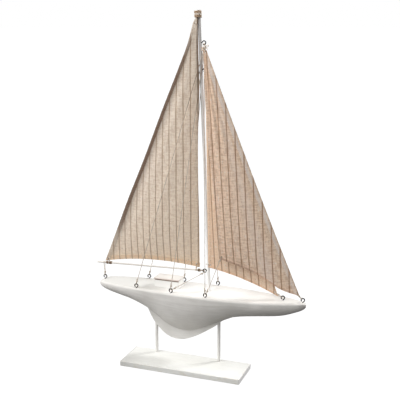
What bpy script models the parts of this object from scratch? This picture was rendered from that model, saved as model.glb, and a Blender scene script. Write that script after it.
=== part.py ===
# Wooden display sailboat on a two-post stand, with linen sails and cord rigging.
# +X is the bow, +Y is port, +Z is up. The origin is under the middle of the base board.

import math
from bisect import bisect_right

import bmesh
import bpy
from mathutils import Matrix, Vector

# Driving dimensions, in millimetres until scaled by MM
MM = 0.001
GAP = 0.3
CLEAR = 0.4
EDGE_STEPS = 2
DOWEL_SIDES = 24
BOARD_LENGTH, BOARD_WIDTH, BOARD_THICK, BOARD_EDGE = 240, 75, 10, 0.9
BOAT_OFFSET_Y = 27
POST_DIAMETER = 6
POST_SEAT = 12
BOARD_SEAT = 6.5
POST_AFT_X, POST_FORE_X = -70, 59

DECK_Z = 150
STERN_X, BOW_X = -189, 226
SHOULDER_RADIUS = 4.5
END_ANGLE = 0.07
HALF_BEAM = [(-189, 0), (-184, 13), (-168, 22), (-98, 34.5), (-25, 40), (44, 41.5),
             (95, 38.5), (150, 29.5), (195, 17), (218, 8.5), (226, 0)]
KEEL_LINE = [(-189, 141), (-178, 132.3), (-120, 117.5), (-90, 105), (-74, 95), (-50, 76), (-24, 65.2),
             (3, 66), (31, 76), (64, 92.8), (90, 105.3), (128, 112.2), (181, 119.8), (206, 128.5),
             (226, 143.5)]
SHEER_LINE = [(-189, 142), (-183, 148.8), (-174, 150), (212, 150), (221, 149.2), (226, 144.5)]
SECTION_FALL = [(-189, 2.4), (-110, 2.3), (-60, 1.95), (0, 1.9), (50, 1.95), (100, 2.2), (226, 2.4)]
SECTION_BULGE = [(-189, 0.55), (-110, 0.6), (-60, 0.68), (0, 0.7), (50, 0.69), (100, 0.64), (226, 0.6)]
STATIONS = 40
SIDE_POINTS = 10
SHOULDER_POINTS = 4

FIN_THICK = 10
FIN_EDGE = 2.6
FIN_TANG_Z = 110
FIN_STEPS = 26
FIN_FOOT = [(-89, 106), (-76, 80), (-64, 65.5), (-50, 53), (-34, 46.3), (-17, 45.8), (0, 50.5),
            (20, 60.5), (41, 74), (54, 83.3), (67, 95)]

HOUSE_X, HOUSE_LENGTH, HOUSE_WIDTH, HOUSE_HEIGHT, HOUSE_EDGE = -42.7, 49.5, 26, 15.5, 0.7
ROOF_THICK, ROOF_OVERHANG, ROOF_EDGE = 2.8, 1.5, 1.0

MAST_FOOT_X, MAST_TOP_X, MAST_TOP_Z = 39.3, 18.6, 667.5
MAST_FOOT_DIAMETER, MAST_TOP_DIAMETER, MAST_SEAT = 6.4, 5.4, 18
BOOM_DIAMETER, BOOM_SIDES = 3.2, 16
SPAR_EDGE = 0.6
BOOM_FORE, BOOM_AFT = (22, 0, 189.2), (-196, 0, 182.7)

EYE_WIRE, EYE_RING = 2.0, 8.4
RING_START, RING_STOP, RING_STEPS = -62, 235, 15
DECK_SHANK, MAST_SHANK = 8, 4
DECK_EYES = {"stern": (-179.5, 0), "bow_inner": (182.3, 0), "bow_outer": (219.5, 0),
             "aft_starboard": (-98, -30.7), "aft_port": (-98, 30.7),
             "mid_starboard": (-25, -35), "mid_port": (-25, 35),
             "fore_starboard": (44, -37), "fore_port": (44, 37)}
MAST_EYE_Z = {"upper": 611, "lower": 563.5, "gooseneck": 189.2}

CLOTH = 0.8
CORNER_HOLE = 2.8
BELLY_PEAK, BELLY_SHAPE = 1.55, 0.85
FOOT_FULLNESS, FOOT_FADE, FOOT_ARCH_FADE = 0.18, 0.13, 5
FOLD_SLANT = 0.25
CORD = 0.9
LASHING = 1.4
TURN_POINTS = 10

WHITE_PAINT = (0.86, 0.85, 0.83)
ROOF_PAINT = (0.87, 0.84, 0.81)
MAIN_LINEN = (0.60, 0.49, 0.39)
JIB_LINEN = (0.64, 0.49, 0.36)
DARK_STEEL = (0.16, 0.15, 0.14)
PALE_CORD = (0.52, 0.47, 0.40)
TAN_LASHING = (0.52, 0.34, 0.18)
BROWN_LASHING = (0.27, 0.18, 0.11)

X_AXIS, Y_AXIS, Z_AXIS = Vector((1, 0, 0)), Vector((0, 1, 0)), Vector((0, 0, 1))


# Scene, materials and placing

for old in list(bpy.data.objects):
    bpy.data.objects.remove(old, do_unlink=True)


def empty(name, location, rotation=(0, 0, 0), parent=None):
    marker = bpy.data.objects.new(name, None)
    marker.location = location
    marker.rotation_euler = rotation
    marker.parent = parent
    bpy.context.scene.collection.objects.link(marker)
    return marker


def material(name, colour, roughness, metallic=0.0):
    mat = bpy.data.materials.new(name)
    mat.use_nodes = True
    shader = mat.node_tree.nodes["Principled BSDF"]
    shader.inputs["Base Color"].default_value = (*colour, 1)
    shader.inputs["Roughness"].default_value = roughness
    shader.inputs["Metallic"].default_value = metallic
    return mat


def place(obj, parent, mat):
    """Link an object modelled in boat millimetres under its parent."""
    bpy.context.scene.collection.objects.link(obj)
    obj.data.materials.append(mat)
    obj.parent = parent
    if parent is boom_pivot:
        obj.matrix_parent_inverse = PIVOT_MATRIX.inverted()
    return obj


def mesh_object(name, bm, parent, mat, smooth_angle=40):
    """Turn a bmesh in millimetres into a smooth-shaded object in metres."""
    bmesh.ops.recalc_face_normals(bm, faces=bm.faces)
    bmesh.ops.scale(bm, vec=(MM, MM, MM), verts=bm.verts)
    mesh = bpy.data.meshes.new(name)
    bm.to_mesh(mesh)
    bm.free()
    mesh.shade_smooth()
    mesh.set_sharp_from_angle(angle=math.radians(smooth_angle))
    return place(bpy.data.objects.new(name, mesh), parent, mat)


def tube(name, points, diameter, mat, parent, cyclic=False, resolution=1):
    """Round cord or wire along points in millimetres."""
    data = bpy.data.curves.new(name, "CURVE")
    data.dimensions = "3D"
    data.bevel_depth = diameter / 2 * MM
    data.bevel_resolution = resolution
    data.use_fill_caps = not cyclic
    spline = data.splines.new("POLY")
    spline.points.add(len(points) - 1)
    spline.use_cyclic_u = cyclic
    spline.use_smooth = True
    for spline_point, point in zip(spline.points, points):
        spline_point.co = (*(point * MM), 1)
    return place(bpy.data.objects.new(name, data), parent, mat)


def cutter(name, bm, target):
    """Cut a bmesh in millimetres, which may hold several closed pieces, out of a target."""
    tool = mesh_object(name, bm, target.parent, white_paint)
    tool.hide_render = True
    tool.display_type = "WIRE"
    cut = target.modifiers.new(name, "BOOLEAN")
    cut.operation = "DIFFERENCE"
    cut.object = tool


# Shapes shared by several pieces

def fair(knots, x):
    """Value at x of a smooth curve through the (x, value) knots."""
    xs = [knot[0] for knot in knots]
    last = len(knots) - 1
    i = min(max(bisect_right(xs, x) - 1, 0), last - 1)

    def slope(j):
        before, after = max(j - 1, 0), min(j + 1, last)
        return (knots[after][1] - knots[before][1]) / (xs[after] - xs[before])

    span = xs[i + 1] - xs[i]
    t = (x - xs[i]) / span
    start = (1 + 2 * t) * (1 - t) ** 2 * knots[i][1] + t * (1 - t) ** 2 * span * slope(i)
    stop = t * t * (3 - 2 * t) * knots[i + 1][1] + t * t * (t - 1) * span * slope(i + 1)
    return start + stop


def add_rod(bm, start, stop, diameter, sides, stop_diameter=None):
    """Add a closed round rod between two points."""
    axis = stop - start
    turn = Z_AXIS.rotation_difference(axis).to_matrix().to_4x4()
    place_rod = Matrix.Translation((start + stop) / 2) @ turn
    far = diameter if stop_diameter is None else stop_diameter
    bmesh.ops.create_cone(bm, cap_ends=True, segments=sides, radius1=diameter / 2,
                          radius2=far / 2, depth=axis.length, matrix=place_rod)


def add_block(bm, centre, size, edge, segments):
    """Add a box with rounded edges."""
    made = bmesh.ops.create_cube(bm, size=1)
    bmesh.ops.scale(bm, vec=size, verts=made["verts"])
    bmesh.ops.translate(bm, vec=centre, verts=made["verts"])
    edges = {e for v in made["verts"] for e in v.link_edges}
    bmesh.ops.bevel(bm, geom=list(edges), offset=edge, segments=segments, profile=0.5,
                    affect="EDGES", material=-1)


def add_plate(bm, outline, thick):
    """Add a flat plate with an outline in the XZ plane, centred on the boat's middle plane."""
    ring = [bm.verts.new((x, -thick / 2, z)) for x, z in outline]
    face = bm.faces.new(ring)
    grown = bmesh.ops.extrude_face_region(bm, geom=[face])
    moved = [v for v in grown["geom"] if isinstance(v, bmesh.types.BMVert)]
    bmesh.ops.translate(bm, vec=(0, thick, 0), verts=moved)


def grow_outline(outline, distance):
    """Offset a closed outline, which runs anticlockwise, outwards by a distance."""
    grown = []
    for i, (x, z) in enumerate(outline):
        before = Vector(outline[i - 1])
        after = Vector(outline[(i + 1) % len(outline)])
        normal_in = (Vector((x, z)) - before).normalized()
        normal_out = (after - Vector((x, z))).normalized()
        bisector = (normal_in + normal_out).normalized()
        stretch = distance / max(bisector.dot(normal_in), 0.3)
        grown.append((x + bisector.y * stretch, z - bisector.x * stretch))
    return grown


def arc(centre, a, b, start, stop, steps):
    """Points from start to stop degrees round a centre, with a and b as its radius vectors."""
    turns = [math.radians(start + (stop - start) * i / steps) for i in range(steps + 1)]
    return [centre + a * math.cos(turn) + b * math.sin(turn) for turn in turns]


def winding(centre, a, b, axis, turns, pitch, start=0):
    """Points of a helix round an axis, with a and b as its radius vectors."""
    points = []
    for i in range(round(turns * TURN_POINTS) + 1):
        turn = math.radians(start) + math.tau * i / TURN_POINTS
        rise = axis * (pitch * i / TURN_POINTS)
        points.append(centre + a * math.cos(turn) + b * math.sin(turn) + rise)
    return points


def least_gap(points, diameter):
    """Smallest gap between a wound tube and its own later turns."""
    far = range(TURN_POINTS // 2, len(points))
    spans = [(points[i] - points[i - j]).length for j in far for i in range(j, len(points))]
    return min(spans) - diameter


# Frames: the boat stands off the board's middle line, and the boom turns about a raked pivot

def mast_axis(z):
    """Point on the mast's centre line at a height."""
    rake = (MAST_TOP_X - MAST_FOOT_X) / (MAST_TOP_Z - DECK_Z)
    return Vector((MAST_FOOT_X + rake * (z - DECK_Z), 0, z))


def mast_radius(z):
    climb = (z - DECK_Z) / (MAST_TOP_Z - DECK_Z)
    return (MAST_FOOT_DIAMETER + (MAST_TOP_DIAMETER - MAST_FOOT_DIAMETER) * climb) / 2


EYE_MEAN = (EYE_RING - EYE_WIRE) / 2
EYE_RISE = EYE_RING / 2 + GAP + 0.05
RAKE = math.atan2(MAST_FOOT_X - MAST_TOP_X, MAST_TOP_Z - DECK_Z)
gooseneck_z = MAST_EYE_Z["gooseneck"]
PIVOT = mast_axis(gooseneck_z) - X_AXIS * (mast_radius(gooseneck_z) + EYE_RISE)

boat = empty("boat", (0, BOAT_OFFSET_Y * MM, 0))
boom_pivot = empty("boom_pivot", PIVOT * MM, (0, -RAKE, 0), boat)
PIVOT_MATRIX = Matrix.Translation(PIVOT * MM) @ Matrix.Rotation(-RAKE, 4, "Y")

white_paint = material("white_paint", WHITE_PAINT, 0.55)
roof_paint = material("roof_paint", ROOF_PAINT, 0.55)
main_linen = material("main_linen", MAIN_LINEN, 0.9)
jib_linen = material("jib_linen", JIB_LINEN, 0.9)
dark_steel = material("dark_steel", DARK_STEEL, 0.35, 1.0)
pale_cord = material("pale_cord", PALE_CORD, 0.85)
tan_lashing = material("tan_lashing", TAN_LASHING, 0.85)
brown_lashing = material("brown_lashing", BROWN_LASHING, 0.85)


# Hull: sections lofted along the deck edge and the keel line

def hull_angle(x):
    """Station angle, so that both ends of the hull come out round."""
    middle, reach = (STERN_X + BOW_X) / 2, (BOW_X - STERN_X) / 2
    return math.acos(max(-1, min(1, (middle - x) / reach)))


def hull_curve(knots, angle):
    return fair([(hull_angle(x), value) for x, value in knots], angle)


def hull_section(angle):
    """Closed ring of one section: starboard shoulder and side, keel, then port."""
    x = (STERN_X + BOW_X) / 2 - (BOW_X - STERN_X) / 2 * math.cos(angle)
    beam = hull_curve(HALF_BEAM, angle)
    top = min(DECK_Z, hull_curve(SHEER_LINE, angle))
    depth = top - hull_curve(KEEL_LINE, angle)
    fall = hull_curve(SECTION_FALL, angle)
    bulge = hull_curve(SECTION_BULGE, angle)
    shoulder = min(SHOULDER_RADIUS, beam * 0.35, depth * 0.3)
    side = []
    for i in range(SHOULDER_POINTS + 1):
        turn = math.pi / 2 * i / SHOULDER_POINTS
        side.append((beam - shoulder * (1 - math.sin(turn)), top - shoulder * (1 - math.cos(turn))))
    for i in range(1, SIDE_POINTS):
        drop = math.sin(math.pi / 2 * i / SIDE_POINTS)
        side.append((beam * (1 - drop ** fall) ** bulge, top - shoulder - drop * (depth - shoulder)))
    starboard = [Vector((x, -y, z)) for y, z in side]
    port = [Vector((x, y, z)) for y, z in reversed(side)]
    return starboard + [Vector((x, 0, top - depth))] + port


def add_loft(bm, rings):
    """Skin closed rings of equal count, with a fan over each end."""
    loops = [[bm.verts.new(point) for point in ring] for ring in rings]
    for near, far in zip(loops, loops[1:]):
        for i in range(len(near)):
            bm.faces.new((near[i - 1], near[i], far[i], far[i - 1]))
    for loop in (loops[0], loops[-1]):
        cap = bm.faces.new(loop)
        bmesh.ops.poke(bm, faces=[cap])


def hull_solid():
    span = math.pi - 2 * END_ANGLE
    angles = [END_ANGLE + span * i / (STATIONS - 1) for i in range(STATIONS)]
    bm = bmesh.new()
    add_loft(bm, [hull_section(angle) for angle in angles])
    return bm


def fin_outline():
    """Fin and tang: a faired foot, closed by the straight top of the tang."""
    first, last = FIN_FOOT[0][0], FIN_FOOT[-1][0]
    shares = [(1 - math.cos(math.pi * i / FIN_STEPS)) / 2 for i in range(FIN_STEPS + 1)]
    xs = [first + (last - first) * share for share in shares]
    foot = [(x, fair(FIN_FOOT, x)) for x in xs]
    return foot + [(last, FIN_TANG_Z), (first, FIN_TANG_Z)]


def round_fin_edges(fin):
    """Round the long edges of the fin's foot, which stand clear of the hull."""
    soften = fin.modifiers.new("foot_rounding", "BEVEL")
    soften.width = FIN_EDGE * MM
    soften.segments = 3
    soften.limit_method = "ANGLE"
    soften.angle_limit = math.radians(60)


hull = mesh_object("hull", hull_solid(), boat, white_paint, 50)
fin_bm = bmesh.new()
add_plate(fin_bm, fin_outline(), FIN_THICK)
keel_fin = mesh_object("keel_fin", fin_bm, boat, white_paint)
round_fin_edges(keel_fin)

mast_heel = mast_axis(DECK_Z - MAST_SEAT)
hull_cuts = bmesh.new()
add_plate(hull_cuts, grow_outline(fin_outline(), GAP), FIN_THICK + 2 * GAP)
mast_hole = mast_axis(DECK_Z - MAST_SEAT - GAP), mast_axis(DECK_Z + 5)
add_rod(hull_cuts, *mast_hole, MAST_FOOT_DIAMETER + 4 * GAP, DOWEL_SIDES)
for eye_x, eye_y in DECK_EYES.values():
    surface = Vector((eye_x, eye_y, DECK_Z))
    add_rod(hull_cuts, surface - Z_AXIS * (DECK_SHANK + GAP), surface + Z_AXIS, EYE_WIRE + 3 * GAP, 8)
cutter("hull_cuts", hull_cuts, hull)


# Stand

def post_span(x):
    """Heights of a post's two ends: in the board and in the fin."""
    foot = fair(FIN_FOOT, x)
    return BOARD_THICK - BOARD_SEAT, foot + POST_SEAT


board_bm = bmesh.new()
add_block(board_bm, (0, 0, BOARD_THICK / 2), (BOARD_LENGTH, BOARD_WIDTH, BOARD_THICK),
          BOARD_EDGE, EDGE_STEPS)
base_board = mesh_object("base_board", board_bm, None, white_paint)
board_cuts, fin_cuts = bmesh.new(), bmesh.new()
for post_name, post_x in (("stand_post_aft", POST_AFT_X), ("stand_post_fore", POST_FORE_X)):
    low, high = post_span(post_x)
    post_bm = bmesh.new()
    add_rod(post_bm, Vector((post_x, 0, low)), Vector((post_x, 0, high)), POST_DIAMETER, DOWEL_SIDES)
    mesh_object(post_name, post_bm, boat, white_paint)
    hole = POST_DIAMETER + 2 * GAP
    seat = Vector((post_x, BOAT_OFFSET_Y, low - GAP)), Vector((post_x, BOAT_OFFSET_Y, BOARD_THICK + 5))
    socket = Vector((post_x, 0, high - 2 * POST_SEAT)), Vector((post_x, 0, high + GAP))
    add_rod(board_cuts, *seat, hole, DOWEL_SIDES)
    add_rod(fin_cuts, *socket, hole, DOWEL_SIDES)
cutter("board_cuts", board_cuts, base_board)
cutter("fin_cuts", fin_cuts, keel_fin)


# Deckhouse

house_bm, roof_bm = bmesh.new(), bmesh.new()
house_z = DECK_Z + GAP
add_block(house_bm, (HOUSE_X, 0, house_z + HOUSE_HEIGHT / 2),
          (HOUSE_LENGTH, HOUSE_WIDTH, HOUSE_HEIGHT), HOUSE_EDGE, EDGE_STEPS)
mesh_object("deckhouse", house_bm, boat, white_paint)
roof_z = house_z + HOUSE_HEIGHT + GAP
add_block(roof_bm, (HOUSE_X, 0, roof_z + ROOF_THICK / 2),
          (HOUSE_LENGTH + 2 * ROOF_OVERHANG, HOUSE_WIDTH + 2 * ROOF_OVERHANG, ROOF_THICK),
          ROOF_EDGE, EDGE_STEPS)
mesh_object("deckhouse_roof", roof_bm, boat, roof_paint)


# Spars

def add_spar(bm, start, stop, diameter, stop_diameter, sides):
    """Add a tapered dowel with softened ends."""
    add_rod(bm, start, stop, diameter, sides, stop_diameter)
    rims = [e for e in bm.edges if any(len(f.verts) > 4 for f in e.link_faces)]
    bmesh.ops.bevel(bm, geom=rims, offset=SPAR_EDGE, segments=EDGE_STEPS, profile=0.5,
                    affect="EDGES", material=-1)


def mast_surface(z, side):
    """Point on the mast's fore (+1) or aft (-1) face."""
    return mast_axis(z) + X_AXIS * (side * mast_radius(z))


MAST_EYES = {"mast_eye_upper": (MAST_EYE_Z["upper"], 1), "mast_eye_lower": (MAST_EYE_Z["lower"], 1),
             "gooseneck_eye": (MAST_EYE_Z["gooseneck"], -1)}
mast_bm = bmesh.new()
add_spar(mast_bm, mast_heel, mast_axis(MAST_TOP_Z), MAST_FOOT_DIAMETER, MAST_TOP_DIAMETER, DOWEL_SIDES)
mast = mesh_object("mast", mast_bm, boat, white_paint)
mast_cuts = bmesh.new()
for eye_z, side in MAST_EYES.values():
    surface = mast_surface(eye_z, side)
    drill = X_AXIS * side
    add_rod(mast_cuts, surface - drill * (MAST_SHANK + GAP), surface + drill * 2, EYE_WIRE + 3 * GAP, 8)
cutter("mast_cuts", mast_cuts, mast)

boom_bm = bmesh.new()
add_spar(boom_bm, Vector(BOOM_FORE), Vector(BOOM_AFT), BOOM_DIAMETER, BOOM_DIAMETER, BOOM_SIDES)
mesh_object("boom", boom_bm, boom_pivot, white_paint)


# Screw eyes: one bent wire each, with its ring in line with the boat

def eye_path(surface, out, across, shank):
    """Shank up out of the wood, then an open ring."""
    centre = surface + out * EYE_RISE
    ring = arc(centre, across * EYE_MEAN, out * EYE_MEAN, RING_START, RING_STOP, RING_STEPS)
    return [surface - out * shank, surface - out * 0.1, surface + out * 0.45 + across * 0.3] + ring


for eye_name, (eye_x, eye_y) in DECK_EYES.items():
    path = eye_path(Vector((eye_x, eye_y, DECK_Z)), Z_AXIS, X_AXIS, DECK_SHANK)
    tube(eye_name + "_eye", path, EYE_WIRE, dark_steel, boat)
for eye_name, (eye_z, side) in MAST_EYES.items():
    path = eye_path(mast_surface(eye_z, side), X_AXIS * side, Z_AXIS, MAST_SHANK)
    tube(eye_name, path, EYE_WIRE, dark_steel, boat)


def deck_ring(eye):
    return Vector((*DECK_EYES[eye], DECK_Z + EYE_RISE))


def mast_ring(eye):
    z, side = MAST_EYES[eye]
    return mast_surface(z, side) + X_AXIS * (side * EYE_RISE)


# Sails: bellied triangles of cloth, with a hole at each corner for its tie

def sail_point(sail, u, v):
    """Point of a sail's middle surface: u runs from luff to leech, v from foot to head."""
    head_fore = sail["head"] + X_AXIS * (sail["head_width"] / 2)
    head_aft = sail["head"] - X_AXIS * (sail["head_width"] / 2)
    luff = sail["tack"].lerp(head_fore, v)
    leech = sail["clew"].lerp(head_aft, v)
    point = luff.lerp(leech, u)
    chord = 4 * u * (1 - u)
    filling = 1 - (1 - FOOT_FULLNESS) * math.exp(-v / FOOT_FADE)
    belly = sail["belly"] * BELLY_PEAK * (1 - v) * filling * chord ** BELLY_SHAPE
    fold = math.sin(sail["folds"] * math.tau * (u + FOLD_SLANT * v)) * math.sin(math.pi * v) * u
    point.y -= belly + sail["fold_depth"] * fold
    point.z += sail["foot_arch"] * chord * (1 - v) ** FOOT_ARCH_FADE
    point.x -= sail["luff_hollow"] * (1 - u) * math.sin(math.pi * v)
    point.y += sail["head_side"] * v ** 3
    point.x -= fair(sail["leech_round"], v) * u
    return point


def corner_hole(sail, corner):
    return sail_point(sail, *sail["holes"][corner])


def sail_solid(name, sail, across, up, mat, parent):
    bm = bmesh.new()
    rows = []
    for j in range(up + 1):
        v = j / up
        rows.append([bm.verts.new(sail_point(sail, i / across, v)) for i in range(across + 1)])
    for low, high in zip(rows, rows[1:]):
        for i in range(across):
            bm.faces.new((low[i], low[i + 1], high[i + 1], high[i]))
    cloth = mesh_object(name, bm, parent, mat, 80)
    thicken = cloth.modifiers.new("cloth", "SOLIDIFY")
    thicken.thickness = CLOTH * MM
    thicken.offset = 0
    holes = bmesh.new()
    for corner in sail["holes"]:
        spot = corner_hole(sail, corner)
        add_rod(holes, spot - Y_AXIS * 6, spot + Y_AXIS * 6, CORNER_HOLE, 10)
    cutter(name + "_holes", holes, cloth)
    return cloth


MAINSAIL = {"tack": Vector((20, 0, 195)), "clew": Vector((-177.5, 0, 187)),
            "head": Vector((16.6, 0, 657)), "head_width": 2.2, "head_side": -3.9, "belly": 12,
            "foot_arch": 10, "luff_hollow": 0.8, "folds": 1.5, "fold_depth": 0.7,
            "leech_round": [(0, 0.8), (0.1, 1.6), (0.27, 3), (0.45, 1.2), (0.65, 1.2), (0.8, -0.4),
                            (0.89, -1), (0.94, 0.8), (0.97, 2.6), (0.985, 1.6), (1, 0.2)],
            "holes": {"tack": (0.030, 0.012), "clew": (0.974, 0.010)}}
INNER_JIB = {"tack": Vector((173, 0, 156)), "clew": Vector((38.9, -4.2, 198)),
             "head": Vector((34, 0, 550)), "head_width": 6, "head_side": 0, "belly": 5,
             "foot_arch": 6, "luff_hollow": 0, "folds": 1.5, "fold_depth": 0.5,
             "leech_round": [(0, 0), (1, 0)],
             "holes": {"tack": (0.032, 0.014), "clew": (0.968, 0.016), "head": (0.5, 0.985)}}
OUTER_JIB = {"tack": Vector((214, 0, 159.5)), "clew": Vector((66.5, -22, 222)),
             "head": Vector((31.4, -1.5, 598)), "head_width": 5.6, "head_side": -2.7, "belly": 8,
             "foot_arch": 7, "luff_hollow": 3, "folds": 1.5, "fold_depth": 0.7,
             "leech_round": [(0, 0), (1, 0)],
             "holes": {"tack": (0.030, 0.013), "clew": (0.970, 0.014), "head": (0.5, 0.992)}}
sail_solid("mainsail", MAINSAIL, 14, 24, main_linen, boom_pivot)
sail_solid("inner_jib", INNER_JIB, 11, 20, jib_linen, boat)
sail_solid("outer_jib", OUTER_JIB, 12, 21, jib_linen, boat)


# Cords: hooks through rings and holes, ties, lashings and shrouds

HOOK = (EYE_WIRE + CORD) / 2 + CLEAR
TAIL = 5
TURN_PITCH = CORD + 0.5
LASHING_PITCH = LASHING + 0.5
BOOM_ROUND = (BOOM_DIAMETER + CORD) / 2 + CLEAR
BOOM_WRAP = (BOOM_DIAMETER + LASHING) / 2 + 0.35
STERN_TIE_X = -181
MASTHEAD_WRAP_Z, MASTHEAD_TURNS = 654.4, 6
MASTHEAD_SHIFT = Vector((-1.8, -1.1, 0))
MASTHEAD_ALONG, MASTHEAD_ACROSS = 6.2, 5.6
BUNDLE_TURNS = 3


def towards(hole, near):
    """Direction from a hole to a near point, kept in the plane of the cloth."""
    return Vector((near.x - hole.x, 0, near.z - hole.z)).normalized()


def through(hole, near):
    """Centre of a cord's turn that passes through a hole and comes from a near point."""
    return hole + towards(hole, near) * HOOK


def hook(centre, outward, side):
    """A cord's tail, its turn round a rim, and its way out, along outward on one side of it."""
    across = Y_AXIS * side
    turn = arc(centre, -across * HOOK, -outward * HOOK, 0, 180, 4)
    return [turn[0] + outward * TAIL] + turn + [turn[-1] + outward * 1.5]


def spoke(degrees):
    """Direction in the boat's middle plane, turned up from the bow."""
    return X_AXIS * math.cos(math.radians(degrees)) + Z_AXIS * math.sin(math.radians(degrees))


def ring_hook(ring, degrees, side):
    return hook(ring + spoke(degrees) * EYE_MEAN, spoke(degrees), side)


def hole_hook(hole, near, side):
    return hook(through(hole, near), towards(hole, near), side)


def tie(name, near, near_radius, far, far_radius, turns, mat, parent):
    """Cord loop round two centres, bound by turns about its middle."""
    along = (far - near).normalized()
    across = (Y_AXIS - along * Y_AXIS.dot(along)).normalized()
    height = along.cross(across)
    round_far = arc(far, -across * far_radius, along * far_radius, 0, 180, 6)
    round_near = arc(near, across * near_radius, -along * near_radius, 0, 180, 6)
    if not turns:
        return tube(name, round_far + round_near, CORD, mat, parent, cyclic=True)
    bound = max(near_radius, far_radius) + TURN_PITCH
    start = near.lerp(far, 0.5) - along * (turns * TURN_PITCH / 2)
    wraps = winding(start, -across * bound, height * bound, along, turns, TURN_PITCH, 60)
    begin = start + along * ((turns + 1) * TURN_PITCH) - across * far_radius
    lead = start - along * TURN_PITCH - across * near_radius
    print(name, "least gap", round(least_gap(wraps, CORD), 2), "mm")
    return tube(name, [begin] + round_far + round_near + [lead] + wraps, CORD, mat, parent)


def ring_tie(name, ring, degrees, sail, corner, turns):
    """Tie from a spot on a ring's wire to a sail's corner."""
    near = ring + spoke(degrees) * EYE_MEAN
    far = through(corner_hole(sail, corner), near)
    return tie(name, near, HOOK, far, HOOK, turns, pale_cord, boat)


upper_ring = mast_ring("mast_eye_upper")
lower_ring = mast_ring("mast_eye_lower")
gooseneck_ring = mast_ring("gooseneck_eye")

ring_tie("outer_jib_tack_tie", deck_ring("bow_outer"), 138, OUTER_JIB, "tack", 2)
ring_tie("inner_jib_tack_tie", deck_ring("bow_inner"), 155, INNER_JIB, "tack", 0)
ring_tie("inner_jib_head_tie", lower_ring, -75, INNER_JIB, "head", 0)
ring_tie("outer_jib_head_tie", upper_ring, -55, OUTER_JIB, "head", 0)
inner_clew = corner_hole(INNER_JIB, "clew")
mast_round = mast_radius(inner_clew.z) + CORD / 2 + CLEAR
clew_turn = through(inner_clew, mast_axis(inner_clew.z))
clew_round = HOOK + CLEAR
tie("inner_jib_clew_tie", mast_axis(inner_clew.z), mast_round, clew_turn, clew_round, 0, pale_cord, boat)


BOOM_RISE = (Vector(BOOM_FORE) - Vector(BOOM_AFT)).normalized()


def boom_axis(x):
    share = (x - BOOM_FORE[0]) / (BOOM_AFT[0] - BOOM_FORE[0])
    return Vector(BOOM_FORE).lerp(Vector(BOOM_AFT), share)


main_tack = corner_hole(MAINSAIL, "tack")
tack_spot = boom_axis(main_tack.x - 1)
tack_turn = through(main_tack, tack_spot)
tie("main_tack_tie", tack_spot, BOOM_ROUND, tack_turn, HOOK, 0, brown_lashing, boom_pivot)
stern_rim = deck_ring("stern") + Z_AXIS * EYE_MEAN
tie("stern_tie", stern_rim, HOOK, boom_axis(STERN_TIE_X), BOOM_ROUND, 0, pale_cord, boat)


def clew_lashing():
    """Two turns round the boom, once through the clew, and three turns more."""
    hole = corner_hole(MAINSAIL, "clew")
    first = boom_axis(hole.x - 2 - 1.75 * LASHING_PITCH)
    aft = winding(first, -Y_AXIS * BOOM_WRAP, Z_AXIS * BOOM_WRAP, BOOM_RISE, 2, LASHING_PITCH)
    second = boom_axis(hole.x + 2)
    fore = winding(second, Y_AXIS * BOOM_WRAP, -Z_AXIS * BOOM_WRAP, BOOM_RISE, 3, LASHING_PITCH)
    up_side = (CLOTH + LASHING) / 2 + 0.6
    pass_clew = [hole - Y_AXIS * up_side - Z_AXIS, hole, hole + Y_AXIS * up_side - Z_AXIS]
    print("clew_lashing least gap", round(least_gap(aft, LASHING), 2), "mm")
    tube("main_clew_lashing", aft + pass_clew + fore, LASHING, brown_lashing, boom_pivot)


def gooseneck_lashing():
    """Turns round the boom's end, then one loop through the gooseneck ring."""
    first = boom_axis(BOOM_FORE[0] - 2.9 * LASHING_PITCH)
    turns = winding(first, -Y_AXIS * BOOM_WRAP, Z_AXIS * BOOM_WRAP, BOOM_RISE, 2.5, LASHING_PITCH, 180)
    inside = EYE_MEAN - (EYE_WIRE + LASHING) / 2 - 0.5
    bend = gooseneck_ring - X_AXIS * (inside + BOOM_WRAP)
    loop = arc(bend, -Y_AXIS * BOOM_WRAP, X_AXIS * BOOM_WRAP, 0, 180, 8)
    back = [boom_axis(BOOM_FORE[0] - 0.5) + Y_AXIS * BOOM_WRAP]
    print("gooseneck_lashing least gap", round(least_gap(turns, LASHING), 2), "mm")
    tube("gooseneck_lashing", turns + loop + back, LASHING, brown_lashing, boom_pivot)


def masthead_lashing():
    """Turns round the masthead and the head of the mainsail together."""
    centre = mast_axis(MASTHEAD_WRAP_Z) + MASTHEAD_SHIFT
    along, across = X_AXIS * MASTHEAD_ALONG, Y_AXIS * MASTHEAD_ACROSS
    rise = (mast_axis(MAST_TOP_Z) - mast_axis(DECK_Z)).normalized()
    wraps = winding(centre, along, across, rise, MASTHEAD_TURNS, LASHING_PITCH)
    print("masthead_lashing least gap", round(least_gap(wraps, LASHING), 2), "mm")
    tube("masthead_lashing", wraps, LASHING, tan_lashing, boat)


clew_lashing()
gooseneck_lashing()
masthead_lashing()

# Shrouds gather in a bundle under the upper mast eye, bound by a lashing hung on that eye
BUNDLE_RADIUS, BUNDLE_LOW, BUNDLE_HIGH = 1.25, 595.5, 603.3
BUNDLE = Vector((upper_ring.x - 0.7, 0, BUNDLE_LOW))
SHROUDS = {"aft": 210, "mid": 270, "fore": 330}
MAST_GUIDE_Z = 577


def shroud(eye, degrees, side):
    """One shroud on a side of the boat (-1 starboard, +1 port), from its deck eye to the bundle."""
    turn = math.radians(degrees)
    spot = BUNDLE + Vector((math.cos(turn), -math.sin(turn) * side, 0)) * BUNDLE_RADIUS
    points = ring_hook(deck_ring(eye), 92, -side)
    if eye.startswith("aft"):
        points.append(mast_axis(MAST_GUIDE_Z) + Y_AXIS * side * (mast_radius(MAST_GUIDE_Z) + 1.5))
    return points + [spot, spot + Z_AXIS * (BUNDLE_HIGH - BUNDLE_LOW)]


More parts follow.
